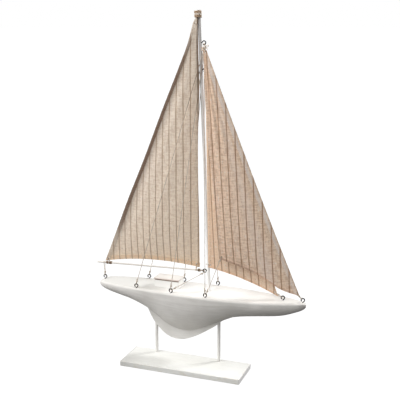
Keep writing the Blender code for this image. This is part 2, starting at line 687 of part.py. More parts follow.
for place_name, degrees in SHROUDS.items():
    for side_name, side in (("starboard", -1), ("port", 1)):
        route = shroud(place_name + "_" + side_name, degrees, side)
        tube("shroud_" + place_name + "_" + side_name, route, CORD, pale_cord, boat, resolution=2)

bundle_wrap = BUNDLE_RADIUS + CORD + 0.35
bundle_a, bundle_b = -Y_AXIS * bundle_wrap, X_AXIS * bundle_wrap
bind = winding(BUNDLE + Z_AXIS, bundle_a, bundle_b, Z_AXIS, BUNDLE_TURNS, TURN_PITCH)
print("shroud_lashing least gap", round(least_gap(bind, CORD), 2), "mm")
hang = arc(Vector((BUNDLE.x, 0, upper_ring.z - EYE_MEAN)), bundle_a, Z_AXIS * HOOK, 0, 180, 6)
tail_end = hang[-1] - Z_AXIS * 1.5
tube("shroud_lashing", bind + hang + [tail_end], CORD, pale_cord, boat)

outer_clew = corner_hole(OUTER_JIB, "clew")
sheet_ring = deck_ring("fore_starboard")
sheet = ring_hook(sheet_ring, 40, 1) + hole_hook(outer_clew, sheet_ring, -1)[::-1]
tube("outer_jib_sheet", sheet, CORD, pale_cord, boat, resolution=2)
line_hooks = ring_hook(deck_ring("mid_starboard"), 35, 1), ring_hook(gooseneck_ring, 270, -1)
tube("boom_line", line_hooks[0] + line_hooks[1][::-1], CORD, pale_cord, boat, resolution=2)
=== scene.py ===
# %% [markdown]
# # A wooden display sailboat, finished in Blender
# The boat is a white painted block on two dowels, with three linen sails and a web of thin cord.
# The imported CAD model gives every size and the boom's joint. This script keeps that frame and adds
# what shows up close: twisted cord, woven cloth with sewn hems, brushed paint and dark bent wire.

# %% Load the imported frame
import math

import bmesh
import bpy
from mathutils import Matrix, Vector


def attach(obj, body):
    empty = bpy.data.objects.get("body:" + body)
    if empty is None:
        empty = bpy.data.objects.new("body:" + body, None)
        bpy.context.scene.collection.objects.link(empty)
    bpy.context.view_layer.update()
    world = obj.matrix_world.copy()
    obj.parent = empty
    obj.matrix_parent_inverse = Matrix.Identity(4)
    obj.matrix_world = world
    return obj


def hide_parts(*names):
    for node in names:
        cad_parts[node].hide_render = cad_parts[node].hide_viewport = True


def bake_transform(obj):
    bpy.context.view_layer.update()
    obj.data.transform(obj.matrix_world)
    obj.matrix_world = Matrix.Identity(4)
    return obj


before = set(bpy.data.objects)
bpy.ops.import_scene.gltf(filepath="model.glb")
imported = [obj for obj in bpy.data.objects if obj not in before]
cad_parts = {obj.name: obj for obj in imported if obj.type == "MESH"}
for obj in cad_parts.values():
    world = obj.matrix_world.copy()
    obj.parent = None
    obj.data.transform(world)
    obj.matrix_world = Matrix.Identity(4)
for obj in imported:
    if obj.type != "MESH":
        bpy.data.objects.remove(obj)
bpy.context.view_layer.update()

# %% [markdown]
# ## The camera
# The photograph looks a little down on the starboard bow. A camera can be keyed in by hand, but a
# turn, a rise and a distance from a target say the same thing in numbers that can be compared with
# the picture. The lens is long, so the boat keeps its proportions.

# %% Place the camera
TARGET = Vector((0.0305, 0, 0.3317))
TURN, RISE, AWAY = math.radians(20.24), math.radians(12.91), 1.433


def placed(name, data):
    """A new object in the scene that shows some data."""
    made = bpy.data.objects.new(name, data)
    bpy.context.scene.collection.objects.link(made)
    return made


away = Vector((math.sin(TURN) * math.cos(RISE), -math.cos(TURN) * math.cos(RISE), math.sin(RISE)))
camera = placed("photo_camera", bpy.data.cameras.new("photo_camera"))
camera.data.lens = 71.1
camera.data.sensor_width = 36
camera.location = TARGET + away * AWAY
camera.rotation_euler = away.to_track_quat("Z", "Y").to_euler()
bpy.context.scene.camera = camera
bpy.context.scene.view_settings.view_transform = "Standard"
print("camera at", [round(value, 3) for value in camera.location])

# %% [markdown]
# ## Shader maths that reads like sums
# A procedural finish is a chain of nodes, and adding them one by one is slow to read. A small class
# can wrap a socket, so that a plus sign makes an Add node. Every other node comes from one method,
# which sets the node's own choices first and then the values or links of its sockets.

# %% Wrap a shader socket
class Signal:
    """One shader socket that can be used in ordinary sums."""

    def __init__(self, tree, socket=None):
        self.tree = tree
        self.socket = socket

    def node(self, kind, settings, inputs, output=0):
        made = self.tree.nodes.new("ShaderNode" + kind)
        for name, value in settings.items():
            setattr(made, name, value)
        for name, value in inputs.items():
            if isinstance(value, Signal):
                self.tree.links.new(value.socket, made.inputs[name])
            else:
                made.inputs[name].default_value = value
        return Signal(self.tree, made.outputs[output])

    def outputs(self):
        return [Signal(self.tree, socket) for socket in self.socket.node.outputs]

    def math(self, operation, *values):
        return self.node("Math", {"operation": operation}, dict(enumerate(values)))

    def __add__(self, other):
        return self.math("ADD", self, other)

    def __radd__(self, other):
        return self.math("ADD", other, self)

    def __sub__(self, other):
        return self.math("SUBTRACT", self, other)

    def __rsub__(self, other):
        return self.math("SUBTRACT", other, self)

    def __mul__(self, other):
        return self.math("MULTIPLY", self, other)

    def __rmul__(self, other):
        return self.math("MULTIPLY", other, self)


print("shader sums ready")

# %% [markdown]
# ## Words used in every finish
# Real surfaces vary in three ways: blotches, sharp-edged marks and relief. Noise gives the first, a
# smooth step cut through noise gives the second, and a Bump node turns either into relief. Each gets
# a short function here, beside a few that start a material, feed a socket and read a place, so that
# the finishes below say only what is special about them.

# %% Name the common nodes
def new_finish(name, roughness, **constants):
    """A new material, the signal that its nodes grow from, and its shader."""
    mat = bpy.data.materials.new(name)
    mat.use_nodes = True
    shader = mat.node_tree.nodes["Principled BSDF"]
    shader.inputs["Roughness"].default_value = roughness
    for socket, value in constants.items():
        shader.inputs[socket.replace("_", " ")].default_value = value
    return mat, Signal(mat.node_tree), shader


def feed(shader, socket, signal):
    signal.tree.links.new(signal.socket, shader.inputs[socket])


def object_place(start):
    """Object coordinates, in metres."""
    return start.node("TexCoord", {}, {}, 3)


def axes(vector):
    """The three parts of a vector signal."""
    return vector.node("SeparateXYZ", {}, {0: vector}).outputs()


def noise(place, stretch, detail=2.0):
    """Noise from 0 to 1 on a place, with its cells per metre along each axis."""
    scaled = place.node("VectorMath", {"operation": "MULTIPLY"}, {0: place, 1: stretch})
    return place.node("TexNoise", {}, {"Vector": scaled, "Scale": 1.0, "Detail": detail})


def step(signal, low, high):
    """Smooth step from 0 below low to 1 above high."""
    return signal.node("MapRange", {"interpolation_type": "SMOOTHSTEP"},
                       {"Value": signal, "From Min": low, "From Max": high})


def blend(share, first, second):
    """Mix of two colours."""
    colours = [value if isinstance(value, Signal) else (*value, 1) for value in (first, second)]
    return share.node("Mix", {"data_type": "RGBA"}, {0: share, 6: colours[0], 7: colours[1]}, 2)


def coats(colour, *layers):
    """A colour with others laid over it in turn, each given as its share and its colour."""
    for share, layer in layers:
        colour = blend(share, colour, layer)
    return colour


def relief(shader, height, depth):
    """Bump of a depth in metres, where the height runs from 0 to 1."""
    feed(shader, "Normal", height.node("Bump", {}, {"Height": height, "Distance": depth}))


print("noise, step, blend, coats and relief ready")

# %% [markdown]
# ## Floor and light
# The photograph has no background: the boat floats on white. A pale floor that runs to the horizon and
# gives off its own light, under a sky that is white only to the camera, does the same. The paint is
# white too, so its shape has to come from uneven light: a dim sky that is brighter on the stern's side,
# a key light behind the bow, a fill before the stern and a weak light overhead. The key also shines
# through the cloth.

# %% Lay the floor
FLOOR_DROP, FLOOR_REACH = 0.0003, 60


def mesh_from(bm, name):
    """A mesh made from a finished bmesh, which is then let go."""
    mesh = bpy.data.meshes.new(name)
    bm.to_mesh(mesh)
    bm.free()
    return mesh


floor_bm = bmesh.new()
bmesh.ops.create_circle(floor_bm, cap_ends=True, segments=96, radius=FLOOR_REACH)
bmesh.ops.translate(floor_bm, vec=(0, 0, -FLOOR_DROP), verts=floor_bm.verts)
floor = placed("floor", mesh_from(floor_bm, "floor"))
floor_paper, paper, paper_shader = new_finish("floor_paper", 0.9, Emission_Strength=0.96)
paper_shader.inputs["Emission Color"].default_value = (1, 1, 1, 1)
grain = noise(object_place(paper), (90, 90, 90))
feed(paper_shader, "Base Color", blend(grain, (0.055, 0.055, 0.055), (0.075, 0.075, 0.075)))
floor.data.materials.append(floor_paper)
floor.visible_diffuse = False
floor.visible_glossy = False
print("floor laid")

# %% Hang the lights
SKY, GROUND, SIDE = 0.40, 0.08, 0.46
world = bpy.data.worlds.new("studio")
bpy.context.scene.world = world
world.use_nodes = True
sky = Signal(world.node_tree)
ahead, aside, above = axes(sky.node("TexCoord", {}, {}))
glow = GROUND + step(above, -0.3, 0.2) * (SKY - GROUND)
glow = glow + step(ahead * -0.85 + aside * -0.45, 0.1, 0.9) * SIDE
seen = sky.node("LightPath", {}, {})
backdrop = world.node_tree.nodes["Background"]
world.node_tree.links.new((glow + seen * (1 - glow)).socket, backdrop.inputs["Strength"])
backdrop.inputs["Color"].default_value = (1, 1, 1, 1)


def softbox(name, place, size, watts):
    """A square area light that faces the middle of the boat."""
    lamp = placed(name, bpy.data.lights.new(name, "AREA"))
    lamp.data.size = size
    lamp.data.energy = watts
    lamp.location = place
    lamp.rotation_euler = (Vector(place) - TARGET).to_track_quat("Z", "Y").to_euler()


softbox("key", (1.33, 1.09, 1.39), 0.5, 28)
softbox("fill", (-1.0, -1.1, 1.67), 1.4, 33)
softbox("top", (0.1, 0.1, 2.4), 1.2, 12)
print("sky, key, fill and top lit")

# %% [markdown]
# ## Where things are on the boat
# The cords run between small rings and cloth corners, so their routes need the same points as the
# CAD model. The boat's own millimetres are easiest to think in: x runs to the bow, y to port, z up,
# with the boat's middle plane at y = 0. One function moves a finished point into the shared frame.

# %% Repeat the boat's points
BOAT_OFFSET = Vector((0, 27, 0))
X, Y, Z = Vector((1, 0, 0)), Vector((0, 1, 0)), Vector((0, 0, 1))
DECK_Z = 150
MAST_FOOT, MAST_RAKE = 39.3, 0.04
MAST_RADIUS, MAST_TAPER, MAST_LENGTH = 3.2, 0.5, 517.5
BOOM_FORE, BOOM_AFT, BOOM_RADIUS = Vector((22, 0, 189.2)), Vector((-196, 0, 182.7)), 1.6
BOOM_RISE = (BOOM_FORE - BOOM_AFT).normalized()
EYE_WIRE, EYE_MEAN, EYE_RISE = 2.0, 3.2, 4.55
DECK_EYES = {"stern": (-179.5, 0), "bow_inner": (182.3, 0), "bow_outer": (219.5, 0),
             "aft_starboard": (-98, -30.7), "aft_port": (-98, 30.7),
             "mid_starboard": (-25, -35), "mid_port": (-25, 35),
             "fore_starboard": (44, -37), "fore_port": (44, 37)}
MAST_EYES = {"mast_eye_upper": (611, 1), "mast_eye_lower": (563.5, 1), "gooseneck_eye": (189.2, -1)}


def framed(point):
    """A point in boat millimetres as metres in the shared frame."""
    return (point + BOAT_OFFSET) * 0.001


def mast_axis(z):
    return Vector((MAST_FOOT - MAST_RAKE * (z - DECK_Z), 0, z))


def mast_radius(z):
    return MAST_RADIUS - MAST_TAPER * (z - DECK_Z) / MAST_LENGTH


def deck_ring(eye):
    return Vector((*DECK_EYES[eye], DECK_Z + EYE_RISE))


def mast_face(eye):
    z, side = MAST_EYES[eye]
    return mast_axis(z) + X * (side * mast_radius(z))


def mast_ring(eye):
    return mast_face(eye) + X * (MAST_EYES[eye][1] * EYE_RISE)


def boom_axis(x):
    return BOOM_FORE.lerp(BOOM_AFT, (BOOM_FORE.x - x) / (BOOM_FORE.x - BOOM_AFT.x))


print("upper ring at", [round(value, 1) for value in mast_ring("mast_eye_upper")], "mm")

# %% [markdown]
# ## The shape of a sail
# Each sail is a triangle of cloth that hangs a little full. Its middle surface can be drawn as a
# formula: straight edges rounded a little, a belly that is deepest low down, an arched foot and a fold.
# The corner holes come from the same formula, so a cord always meets its hole.

# %% Describe the sails
LEVEL = [(0, 0), (1, 0)]
PLAIN = dict.fromkeys(("luff_round", "leech_round", "foot_droop", "pale", "leech_tone", "foot_tone"), LEVEL)
MAINSAIL = PLAIN | {
    "tack": (20, 0, 195), "clew": (-177.5, 0, 187), "head": (16.6, 0, 657), "head_width": 2.2,
    "head_side": -3.9, "belly": 12, "foot_arch": 10, "fold_depth": 0.7,
    "luff_round": [(0, 0), (0.2, -0.7), (0.35, -2.1), (0.5, -2.1), (0.6, -0.9), (0.68, 0.8), (0.74, 1.7),
                   (0.8, 1.1), (0.86, 0.4), (0.93, 0.1), (1, 0)],
    "leech_round": [(0, 0.6), (0.1, 0.5), (0.27, 1.2), (0.45, -0.7), (0.65, -0.7), (0.8, -2.3),
                    (0.89, -2.6), (0.94, -0.5), (0.97, 1.6), (0.985, 1.1), (1, 0.2)],
    "holes": {"tack": (0.030, 0.012), "clew": (0.974, 0.010)}}
INNER_JIB = PLAIN | {
    "tack": (173, 0, 156), "clew": (38.9, -4.2, 198), "head": (34, 0, 550), "head_width": 6,
    "head_side": 0, "belly": 5, "foot_arch": 6, "fold_depth": 0.5,
    "holes": {"tack": (0.032, 0.014), "clew": (0.968, 0.016), "head": (0.5, 0.985)}}
OUTER_JIB = PLAIN | {
    "tack": (214, 0, 159.5), "clew": (66.5, -22, 222), "head": (31.4, -1.5, 598), "head_width": 5.6,
    "head_side": -2.7, "belly": 8, "foot_arch": 7, "fold_depth": 0.7,
    "foot_droop": [(0, 0), (0.06, 1), (0.14, 4.5), (0.26, 7), (0.4, 4), (0.55, 0.5), (0.7, 0), (1, 0)],
    "luff_round": [(0, 0), (0.25, -2.1), (0.5, -3), (0.75, -2.1), (1, 0)],
    "leech_round": [(0, 0), (0.25, 0.6), (0.4, 2), (0.5, 4), (0.6, 5), (0.74, 4.4), (0.88, 2.2), (1, 0)],
    "holes": {"tack": (0.030, 0.013), "clew": (0.970, 0.014), "head": (0.5, 0.992)}}
print("three sails described")

# %% Draw a sail's middle surface
FULLNESS, FOOT_PINCH, PINCH_HEIGHT = 1.55, 0.82, 0.13


def fair(knots, x):
    """Value at x of a smooth curve through the (x, value) knots."""
    last = len(knots) - 1
    i = max(j for j in range(last) if knots[j][0] <= x or j == 0)

    def slope(j):
        before, after = knots[max(j - 1, 0)], knots[min(j + 1, last)]
        return (after[1] - before[1]) / (after[0] - before[0])

    (x0, low), (x1, high) = knots[i], knots[i + 1]
    span = x1 - x0
    t = (x - x0) / span
    start = (1 + 2 * t) * (1 - t) ** 2 * low + t * (1 - t) ** 2 * span * slope(i)
    return start + t * t * (3 - 2 * t) * high + t * t * (t - 1) * span * slope(i + 1)


def sail_edges(sail, v):
    """Luff and leech points at a share v of the way up, as straight lines."""
    half_head = X * (sail["head_width"] / 2)
    head = Vector(sail["head"])
    return Vector(sail["tack"]).lerp(head + half_head, v), Vector(sail["clew"]).lerp(head - half_head, v)


def sail_point(sail, u, v):
    """Point of the middle surface: u runs from luff to leech, v from foot to head."""
    luff, leech = sail_edges(sail, v)
    point = luff.lerp(leech, u)
    chord = 4 * u * (1 - u)
    filling = 1 - FOOT_PINCH * math.exp(-v / PINCH_HEIGHT)
    fold = math.sin(1.5 * math.tau * (u + 0.25 * v)) * math.sin(math.pi * v) * u
    point.x += fair(sail["luff_round"], v) * (1 - u)
    point.x -= fair(sail["leech_round"], v) * u
    point.y -= sail["belly"] * FULLNESS * (1 - v) * filling * chord ** 0.85 + sail["fold_depth"] * fold
    point.y += sail["head_side"] * v ** 3
    point.z += (sail["foot_arch"] * chord - fair(sail["foot_droop"], u)) * (1 - v) ** 5
    return point


def corner_hole(sail, corner):
    return sail_point(sail, *sail["holes"][corner])


print("clew hole at", [round(value, 1) for value in corner_hole(MAINSAIL, "clew")], "mm")

# %% [markdown]
# ## Cord finishes
# The rigging is undyed cotton twine, and the lashings are coarser brown jute. Under a lens both are
# bundles of fibres with paler and darker stretches. Noise on Object coordinates gives the stretches
# and a finer noise gives the fuzz, while the twist itself is real geometry. A band of heights may take
# another colour: the shrouds get a painted shade high up beside the mast, and the masthead is whipped
# in white.

# %% Make the cord finishes
def cord_finish(name, pale, dark, band=None):
    """Fuzzy cord; a band gives the middle and half height of a stretch with its own colour."""
    mat, start, shader = new_finish(name, 0.85, Sheen_Weight=0.25, Sheen_Roughness=0.5)
    place = object_place(start)
    stretches = noise(place, (160, 160, 160))
    fibres = noise(place, (2600, 2600, 2600), 3)
    colour = blend(step(stretches * 0.6 + fibres * 0.5, 0.3, 0.75), dark, pale)
    if band:
        middle, half_height, band_colour = band
        off = start.math("ABSOLUTE", axes(place)[2] - middle)
        near = 1 - step(off, half_height * 0.6, half_height)
        colour = blend(near * (0.5 + fibres * 0.6), colour, band_colour)
    feed(shader, "Base Color", colour)
    feed(shader, "Roughness", 0.75 + fibres * 0.2)
    relief(shader, fibres, 0.00012)
    return mat


# Painted shade on the shrouds high up beside the mast, where they lie in shadow.
SHROUD_SHADE = (0.535, 0.055, (0.26, 0.17, 0.11))
WHIPPED = (0.6605, 0.0022, (0.92, 0.82, 0.72))
pale_twine = cord_finish("pale_twine", (0.71, 0.62, 0.52), (0.40, 0.325, 0.255), SHROUD_SHADE)
cream_twine = cord_finish("cream_twine", (0.92, 0.80, 0.68), (0.60, 0.45, 0.34))
tan_jute = cord_finish("tan_jute", (0.66, 0.47, 0.30), (0.30, 0.18, 0.10), WHIPPED)
brown_jute = cord_finish("brown_jute", (0.34, 0.23, 0.14), (0.13, 0.08, 0.05))
worn_jute = cord_finish("worn_jute", (0.72, 0.56, 0.40), (0.38, 0.27, 0.17))
print("five cord finishes")

# %% [markdown]
# ## How a cord is laid
# Twine is three strands laid together. Three separate tubes would cross each other at every bend, so
# one three-lobed section is swept along the route instead, and the section turns as it goes. Blender's
# curve does this by itself: a bevel object is the section, and each point's tilt is the twist. The
# curve then becomes a mesh, because the section is only a helper.

# %% Smooth a route
def smooth_route(knots, spacing):
    """Close points on a smooth curve through the knots, which doesn't overshoot at short spans."""
    ends = [knots[0] * 2 - knots[1]] + knots + [knots[-1] * 2 - knots[-2]]
    route = []
    for a, b, c, d in zip(ends, ends[1:], ends[2:], ends[3:]):
        tb = (b - a).length ** 0.5
        tc = tb + (c - b).length ** 0.5
        td = tc + (d - c).length ** 0.5
        count = max(2, math.ceil((c - b).length / spacing))
        for i in range(count):
            t = tb + (tc - tb) * i / count
            ab, bc, cd = a.lerp(b, t / tb), b.lerp(c, (t - tb) / (tc - tb)), c.lerp(d, (t - tc) / (td - tc))
            abc, bcd = ab.lerp(bc, t / tc), bc.lerp(cd, (t - tb) / (td - tb))
            route.append(abc.lerp(bcd, (t - tb) / (tc - tb)))
    return route + [knots[-1]]


def run_of(route):
    """Length of a route."""
    return sum((b - a).length for a, b in zip(route, route[1:]))


print("routes can be smoothed")

# %% Draw a curve and the section of a cord
LOBES, SECTION_POINTS = 3, 12


def drawn(name, route):
    """Curve data with one spline along a route in metres, and that spline."""
    data = bpy.data.curves.new(name, "CURVE")
    data.dimensions = "3D"
    data.use_fill_caps = True
    spline = data.splines.new("POLY")
    spline.points.add(len(route) - 1)
    for spot, point in zip(spline.points, route):
        spot.co = (*point, 1)
    return data, spline


def strand_section(diameter):
    """Closed outline of three strands, as a flat curve."""
    angles = [math.tau * i / SECTION_POINTS for i in range(SECTION_POINTS)]
    reaches = [diameter / 2 * (0.89 + 0.11 * math.cos(LOBES * angle)) for angle in angles]
    outline = [(reach * math.cos(angle), reach * math.sin(angle), 0) for reach, angle in zip(reaches, angles)]
    data, spline = drawn("strand_section", outline)
    spline.use_cyclic_u = True
    return placed("strand_section", data)


print("a cord's section has", LOBES, "lobes")

# %% Sweep the section along a route
STEP_SHARE, TURN_RUN, TIP_SHARE = 0.45, 0.0036, 0.55


def evaluated_mesh(thing):
    """A plain mesh of an object as it looks with its bevel or its modifiers."""
    bpy.context.view_layer.update()
    return bpy.data.meshes.new_from_object(thing.evaluated_get(bpy.context.evaluated_depsgraph_get()))


def twine(name, knots, diameter, mat):
    """A cord piece along knots in boat millimetres, and the line it follows in metres."""
    route = [framed(point) for point in smooth_route(knots, diameter * STEP_SHARE)]
    data, spline = drawn(name, route)
    data.bevel_mode = "OBJECT"
    data.bevel_object = strand_section(diameter * 0.001)
    run = run_of(route)
    turns = max(1, round(run / (diameter * TURN_RUN)))
    done = 0
    for spot, point, ahead in zip(spline.points, route, route[1:] + route[-1:]):
        spot.tilt = math.tau * turns * done / run
        done += (ahead - point).length
    spline.points[0].radius = spline.points[-1].radius = TIP_SHARE
    curve = placed(name, data)
    mesh = evaluated_mesh(curve)
    for helper in (data.bevel_object, curve):
        bpy.data.objects.remove(helper, do_unlink=True)
    bm = bmesh.new()
    bm.from_mesh(mesh)
    bmesh.ops.remove_doubles(bm, verts=bm.verts, dist=1e-7)
    bmesh.ops.recalc_face_normals(bm, faces=bm.faces)
    bm.to_mesh(mesh)
    bm.free()
    mesh.shade_smooth()
    mesh.materials.clear()
    mesh.materials.append(mat)
    return placed(name, mesh), route


print("cord maker ready")

# %% [markdown]
# ## Bends, turns and hitches
# A cord on a model boat does four things: it bends round a wire, it winds round a spar, it is made
# fast to its own standing part with a couple of turns, and two legs are bound together. Arcs and
# helices written as a few points each cover all four, and the smooth curve rounds them off.

# %% Draw bends and turns
CORD, LASHING = 1.2, 1.4
CORD_LAY = CORD * 1.04
TURN_POINTS = 16


def arc(centre, a, b, start, stop, steps):
    """Points from start to stop degrees round a centre, with a and b as its radius vectors."""
    turns = [math.radians(start + (stop - start) * i / steps) for i in range(steps + 1)]
    return [centre + a * math.cos(turn) + b * math.sin(turn) for turn in turns]


def winding(centre, a, b, axis, turns, pitch, start=0):
    """Points of a helix along an axis, with a and b as its radius vectors."""
    count = round(turns * TURN_POINTS)
    angles = [math.radians(start) + math.tau * i / TURN_POINTS for i in range(count + 1)]
    rises = [axis * (pitch * i / TURN_POINTS) for i in range(count + 1)]
    return [centre + a * math.cos(turn) + b * math.sin(turn) + rise for turn, rise in zip(angles, rises)]


def spoke(degrees):
    """Direction in the boat's middle plane, turned up from the bow."""
    return X * math.cos(math.radians(degrees)) + Z * math.sin(math.radians(degrees))


print("bends and turns ready")

# %% Make an end fast
SNUG, HOOK = (EYE_WIRE + CORD) / 2, 1.5
HITCH_GAP, HITCH_RUN, HITCH_START = 2.6, 6, 20


def made_fast(rim, outward, side, away, radius=SNUG, turns=2.25):
    """A cord's end: its tail, turns about its own standing part, one bend round a rim, and off."""
    stand = (away - rim).normalized()
    across = Y * side
    bend = arc(rim, -across * radius, -outward * radius, 0, 180, 8)
    level = (across - stand * across.dot(stand)).normalized()
    upright = stand.cross(level)
    hitch = rim + stand * (radius + HITCH_GAP)
    turned = winding(hitch, -level * CORD, upright * CORD, stand, turns, CORD_LAY, HITCH_START)
    outside = (turned[-1] - hitch).normalized()
    tail = [turned[-1] + stand * 0.9 + outside * 0.6, turned[-1] + stand * 1.9 + outside * 1.7]
    return tail[::-1] + turned[::-1] + bend + [hitch, hitch + stand * HITCH_RUN]


def ring_fast(ring, degrees, side, away):
    return made_fast(ring + spoke(degrees) * EYE_MEAN, spoke(degrees), side, away)


def towards(hole, near):
    """Direction from a hole to a near point, in the plane of the cloth."""
    return Vector((near.x - hole.x, 0, near.z - hole.z)).normalized()


def hole_fast(hole, near, side):
    return made_fast(hole + towards(hole, near) * HOOK, towards(hole, near), side, near, HOOK)


print("hitches ready")

# %% [markdown]
# ## Shrouds and lines
# Six shrouds run from the deck eyes to a bundle under the upper mast eye, a line runs from the
# starboard middle eye to the gooseneck, and a sheet holds the outer jib's clew. They are drawn taut in
# the photograph, so each is a straight run between its two ends, but for the aft shrouds, which bend
# past the mast.

# %% String the shrouds
ROOT, SWING = "boat_on_stand", "boom_and_mainsail"
BUNDLE_LOW, BUNDLE_LENGTH, BUNDLE_RADIUS = 595.5, 7.8, CORD * 1.05
BUNDLE = Vector((mast_ring("mast_eye_upper").x - 0.7, 0, BUNDLE_LOW))
MAST_PASS, MAST_CLEAR = 577, 1.5


def replace(piece, node, body):
    """Let a piece stand for a CAD node, which is hidden, and ride on a body."""
    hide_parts(node)
    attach(piece, body)


def rig(node, kind, knots, mat, body=ROOT):
    """Lay twine or jute in place of a CAD node: the piece, and the line it follows."""
    piece, route = twine(node + "_" + kind, knots, {"twine": CORD, "jute": LASHING}[kind], mat)
    replace(piece, node, body)
    return piece, route


def free_cord(node, knots):
    """A taut cord between two points of the boat, whose length is printed."""
    piece, route = rig(node, "twine", knots, pale_twine)
    length = run_of(route)
    print(node, round(length * 1000), "mm of twine")


for place_name, degrees in (("aft", 210), ("mid", 270), ("fore", 330)):
    for side_name, side in (("starboard", -1), ("port", 1)):
        turn = math.radians(degrees)
        spot = BUNDLE + Vector((math.cos(turn), -math.sin(turn) * side, 0)) * BUNDLE_RADIUS
        beside = mast_axis(MAST_PASS) + Y * side * (mast_radius(MAST_PASS) + MAST_CLEAR)
        guide = [beside] if place_name == "aft" else []
        ring = deck_ring(place_name + "_" + side_name)
        route = ring_fast(ring, 92, -side, (guide + [spot])[0]) + guide
        free_cord("shroud_" + place_name + "_" + side_name, route + [spot, spot + Z * BUNDLE_LENGTH])

# %% Stretch the boom line and the jib sheet
mid_ring, fore_ring = deck_ring("mid_starboard"), deck_ring("fore_starboard")
neck_ring = mast_ring("gooseneck_eye")
outer_clew = corner_hole(OUTER_JIB, "clew")
free_cord("boom_line", ring_fast(mid_ring, 35, 1, neck_ring - Z * EYE_MEAN)
          + ring_fast(neck_ring, 270, -1, mid_ring)[::-1])
free_cord("outer_jib_sheet", ring_fast(fore_ring, 40, 1, outer_clew)
          + hole_fast(outer_clew, fore_ring, -1)[::-1])

# %% [markdown]
# ## Ties and lashings
# The sail corners are tied to their rings with a doubled cord that is bound at its waist. The boom and
# the masthead are lashed with thicker jute, whose turns lie hard against each other. One function
# draws every tie, and each lashing is its own short route.

# %% Tie the sail corners
def bound_tie(near, near_radius, far, far_radius, turns, at=0.5, tail=((0.5, -1, 0.2), (1, -2.4, -0.4))):
    """A doubled cord round two centres, with its two legs bound together and a tail left over."""
    along = (far - near).normalized()
    across = (Y - along * Y.dot(along)).normalized()
    height = along.cross(across)
    waist = near.lerp(far, at)
    leg = across * (CORD * 0.52)
    wraps = winding(waist - along * (turns * CORD * 0.52), -across * (CORD * 1.5), height * CORD,
                    along, turns, CORD_LAY, HITCH_START)
    round_far = arc(far, -across * far_radius, along * far_radius, 0, 180, 8)
    round_near = arc(near, across * near_radius, -along * near_radius, 0, 180, 8)
    end = [wraps[-1] + Vector(offset) for offset in tail]
    start = [waist - leg - along * (CORD * turns * 0.5)]
    return start + round_far + [waist + leg] + round_near + [wraps[0] - along * CORD] + wraps + end


def corner_tie(node, ring, degrees, sail, corner, turns):
    near = ring + spoke(degrees) * EYE_MEAN
    hole = corner_hole(sail, corner)
    knots = bound_tie(near, SNUG, hole + towards(hole, near) * HOOK, HOOK, turns)
    rig(node, "twine", knots, pale_twine)
    print(node, "tied with", turns, "turns")


corner_tie("outer_jib_tack_tie", deck_ring("bow_outer"), 138, OUTER_JIB, "tack", 2)
corner_tie("inner_jib_tack_tie", deck_ring("bow_inner"), 155, INNER_JIB, "tack", 3)
corner_tie("inner_jib_head_tie", mast_ring("mast_eye_lower"), -75, INNER_JIB, "head", 2)
corner_tie("outer_jib_head_tie", mast_ring("mast_eye_upper"), -55, OUTER_JIB, "head", 2)

# %% Tie the inner clew to the mast
inner_clew = corner_hole(INNER_JIB, "clew")
clew_mast = mast_axis(inner_clew.z)
clew_turn = inner_clew + towards(inner_clew, clew_mast) * HOOK
clew_loop = bound_tie(clew_mast, mast_radius(inner_clew.z) + CORD / 2, clew_turn, HOOK, 1, 0.62)
rig("inner_jib_clew_tie", "twine", clew_loop, pale_twine)
print("inner clew tied")

# %% Tie the boom to the stern eye and the tack to the boom
BOOM_SNUG, STERN_TIE_X = BOOM_RADIUS + CORD / 2, -181
stern_rim = deck_ring("stern") + Z * EYE_MEAN
stern_boom = boom_axis(STERN_TIE_X)
stern_loop = bound_tie(stern_rim, SNUG, stern_boom, BOOM_SNUG, 3, 0.2)
piece, _ = twine("stern_tie_twine", stern_loop, CORD, pale_twine)
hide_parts("stern_tie")
framed(stern_rim)
framed(stern_boom)
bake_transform(piece)
main_tack = corner_hole(MAINSAIL, "tack")
tack_boom = boom_axis(main_tack.x - 1)
tack_turn = main_tack + towards(main_tack, tack_boom) * HOOK
loose_end = ((1.5, -1.4, 0.8), (4, -1.6, 3), (7.4, -1, 4.2), (8, 0, 7.6), (5.6, 0.6, 9.4))
tack_loop = bound_tie(tack_boom, BOOM_SNUG, tack_turn, HOOK, 1, 0.55, loose_end)
rig("main_tack_tie", "twine", tack_loop, worn_jute, SWING)
print("stern and tack tied")

# %% Lash the boom and the masthead
LAY = LASHING * 1.03
BOOM_WRAP = BOOM_RADIUS + LASHING / 2
clew_hole = corner_hole(MAINSAIL, "clew")
aft_turns = winding(boom_axis(clew_hole.x - 1 - 3 * LAY), -Y * BOOM_WRAP, Z * BOOM_WRAP, BOOM_RISE, 3, LAY)
fore_turns = winding(boom_axis(clew_hole.x + 1), Y * BOOM_WRAP, -Z * BOOM_WRAP, BOOM_RISE, 4, LAY)
over_clew = [clew_hole - Y * 1.7 - Z, clew_hole, clew_hole + Y * 1.7 - Z]
clew_route = aft_turns + over_clew + fore_turns
rig("main_clew_lashing", "jute", clew_route, brown_jute, SWING)

neck_start = boom_axis(BOOM_FORE.x - 3.9 * LAY)
neck_turns = winding(neck_start, -Y * BOOM_WRAP, Z * BOOM_WRAP, BOOM_RISE, 3.5, LAY, 180)
neck_loop = arc(neck_ring - X * (1.4 + BOOM_WRAP), -Y * BOOM_WRAP, X * BOOM_WRAP, 0, 180, 8)
neck_route = neck_turns + neck_loop + [boom_axis(BOOM_FORE.x - 1) + Y * BOOM_WRAP]
rig("gooseneck_lashing", "jute", neck_route, brown_jute, SWING)

head_axis = (mast_axis(665) - mast_axis(DECK_Z)).normalized()
head_turns = winding(mast_axis(654.4) - X * 1.8 - Y * 1.1, X * 6.2, Y * 5.6, head_axis, 8, LAY)
rig("masthead_lashing", "jute", head_turns, tan_jute, ROOT)
print("boom and masthead lashed")

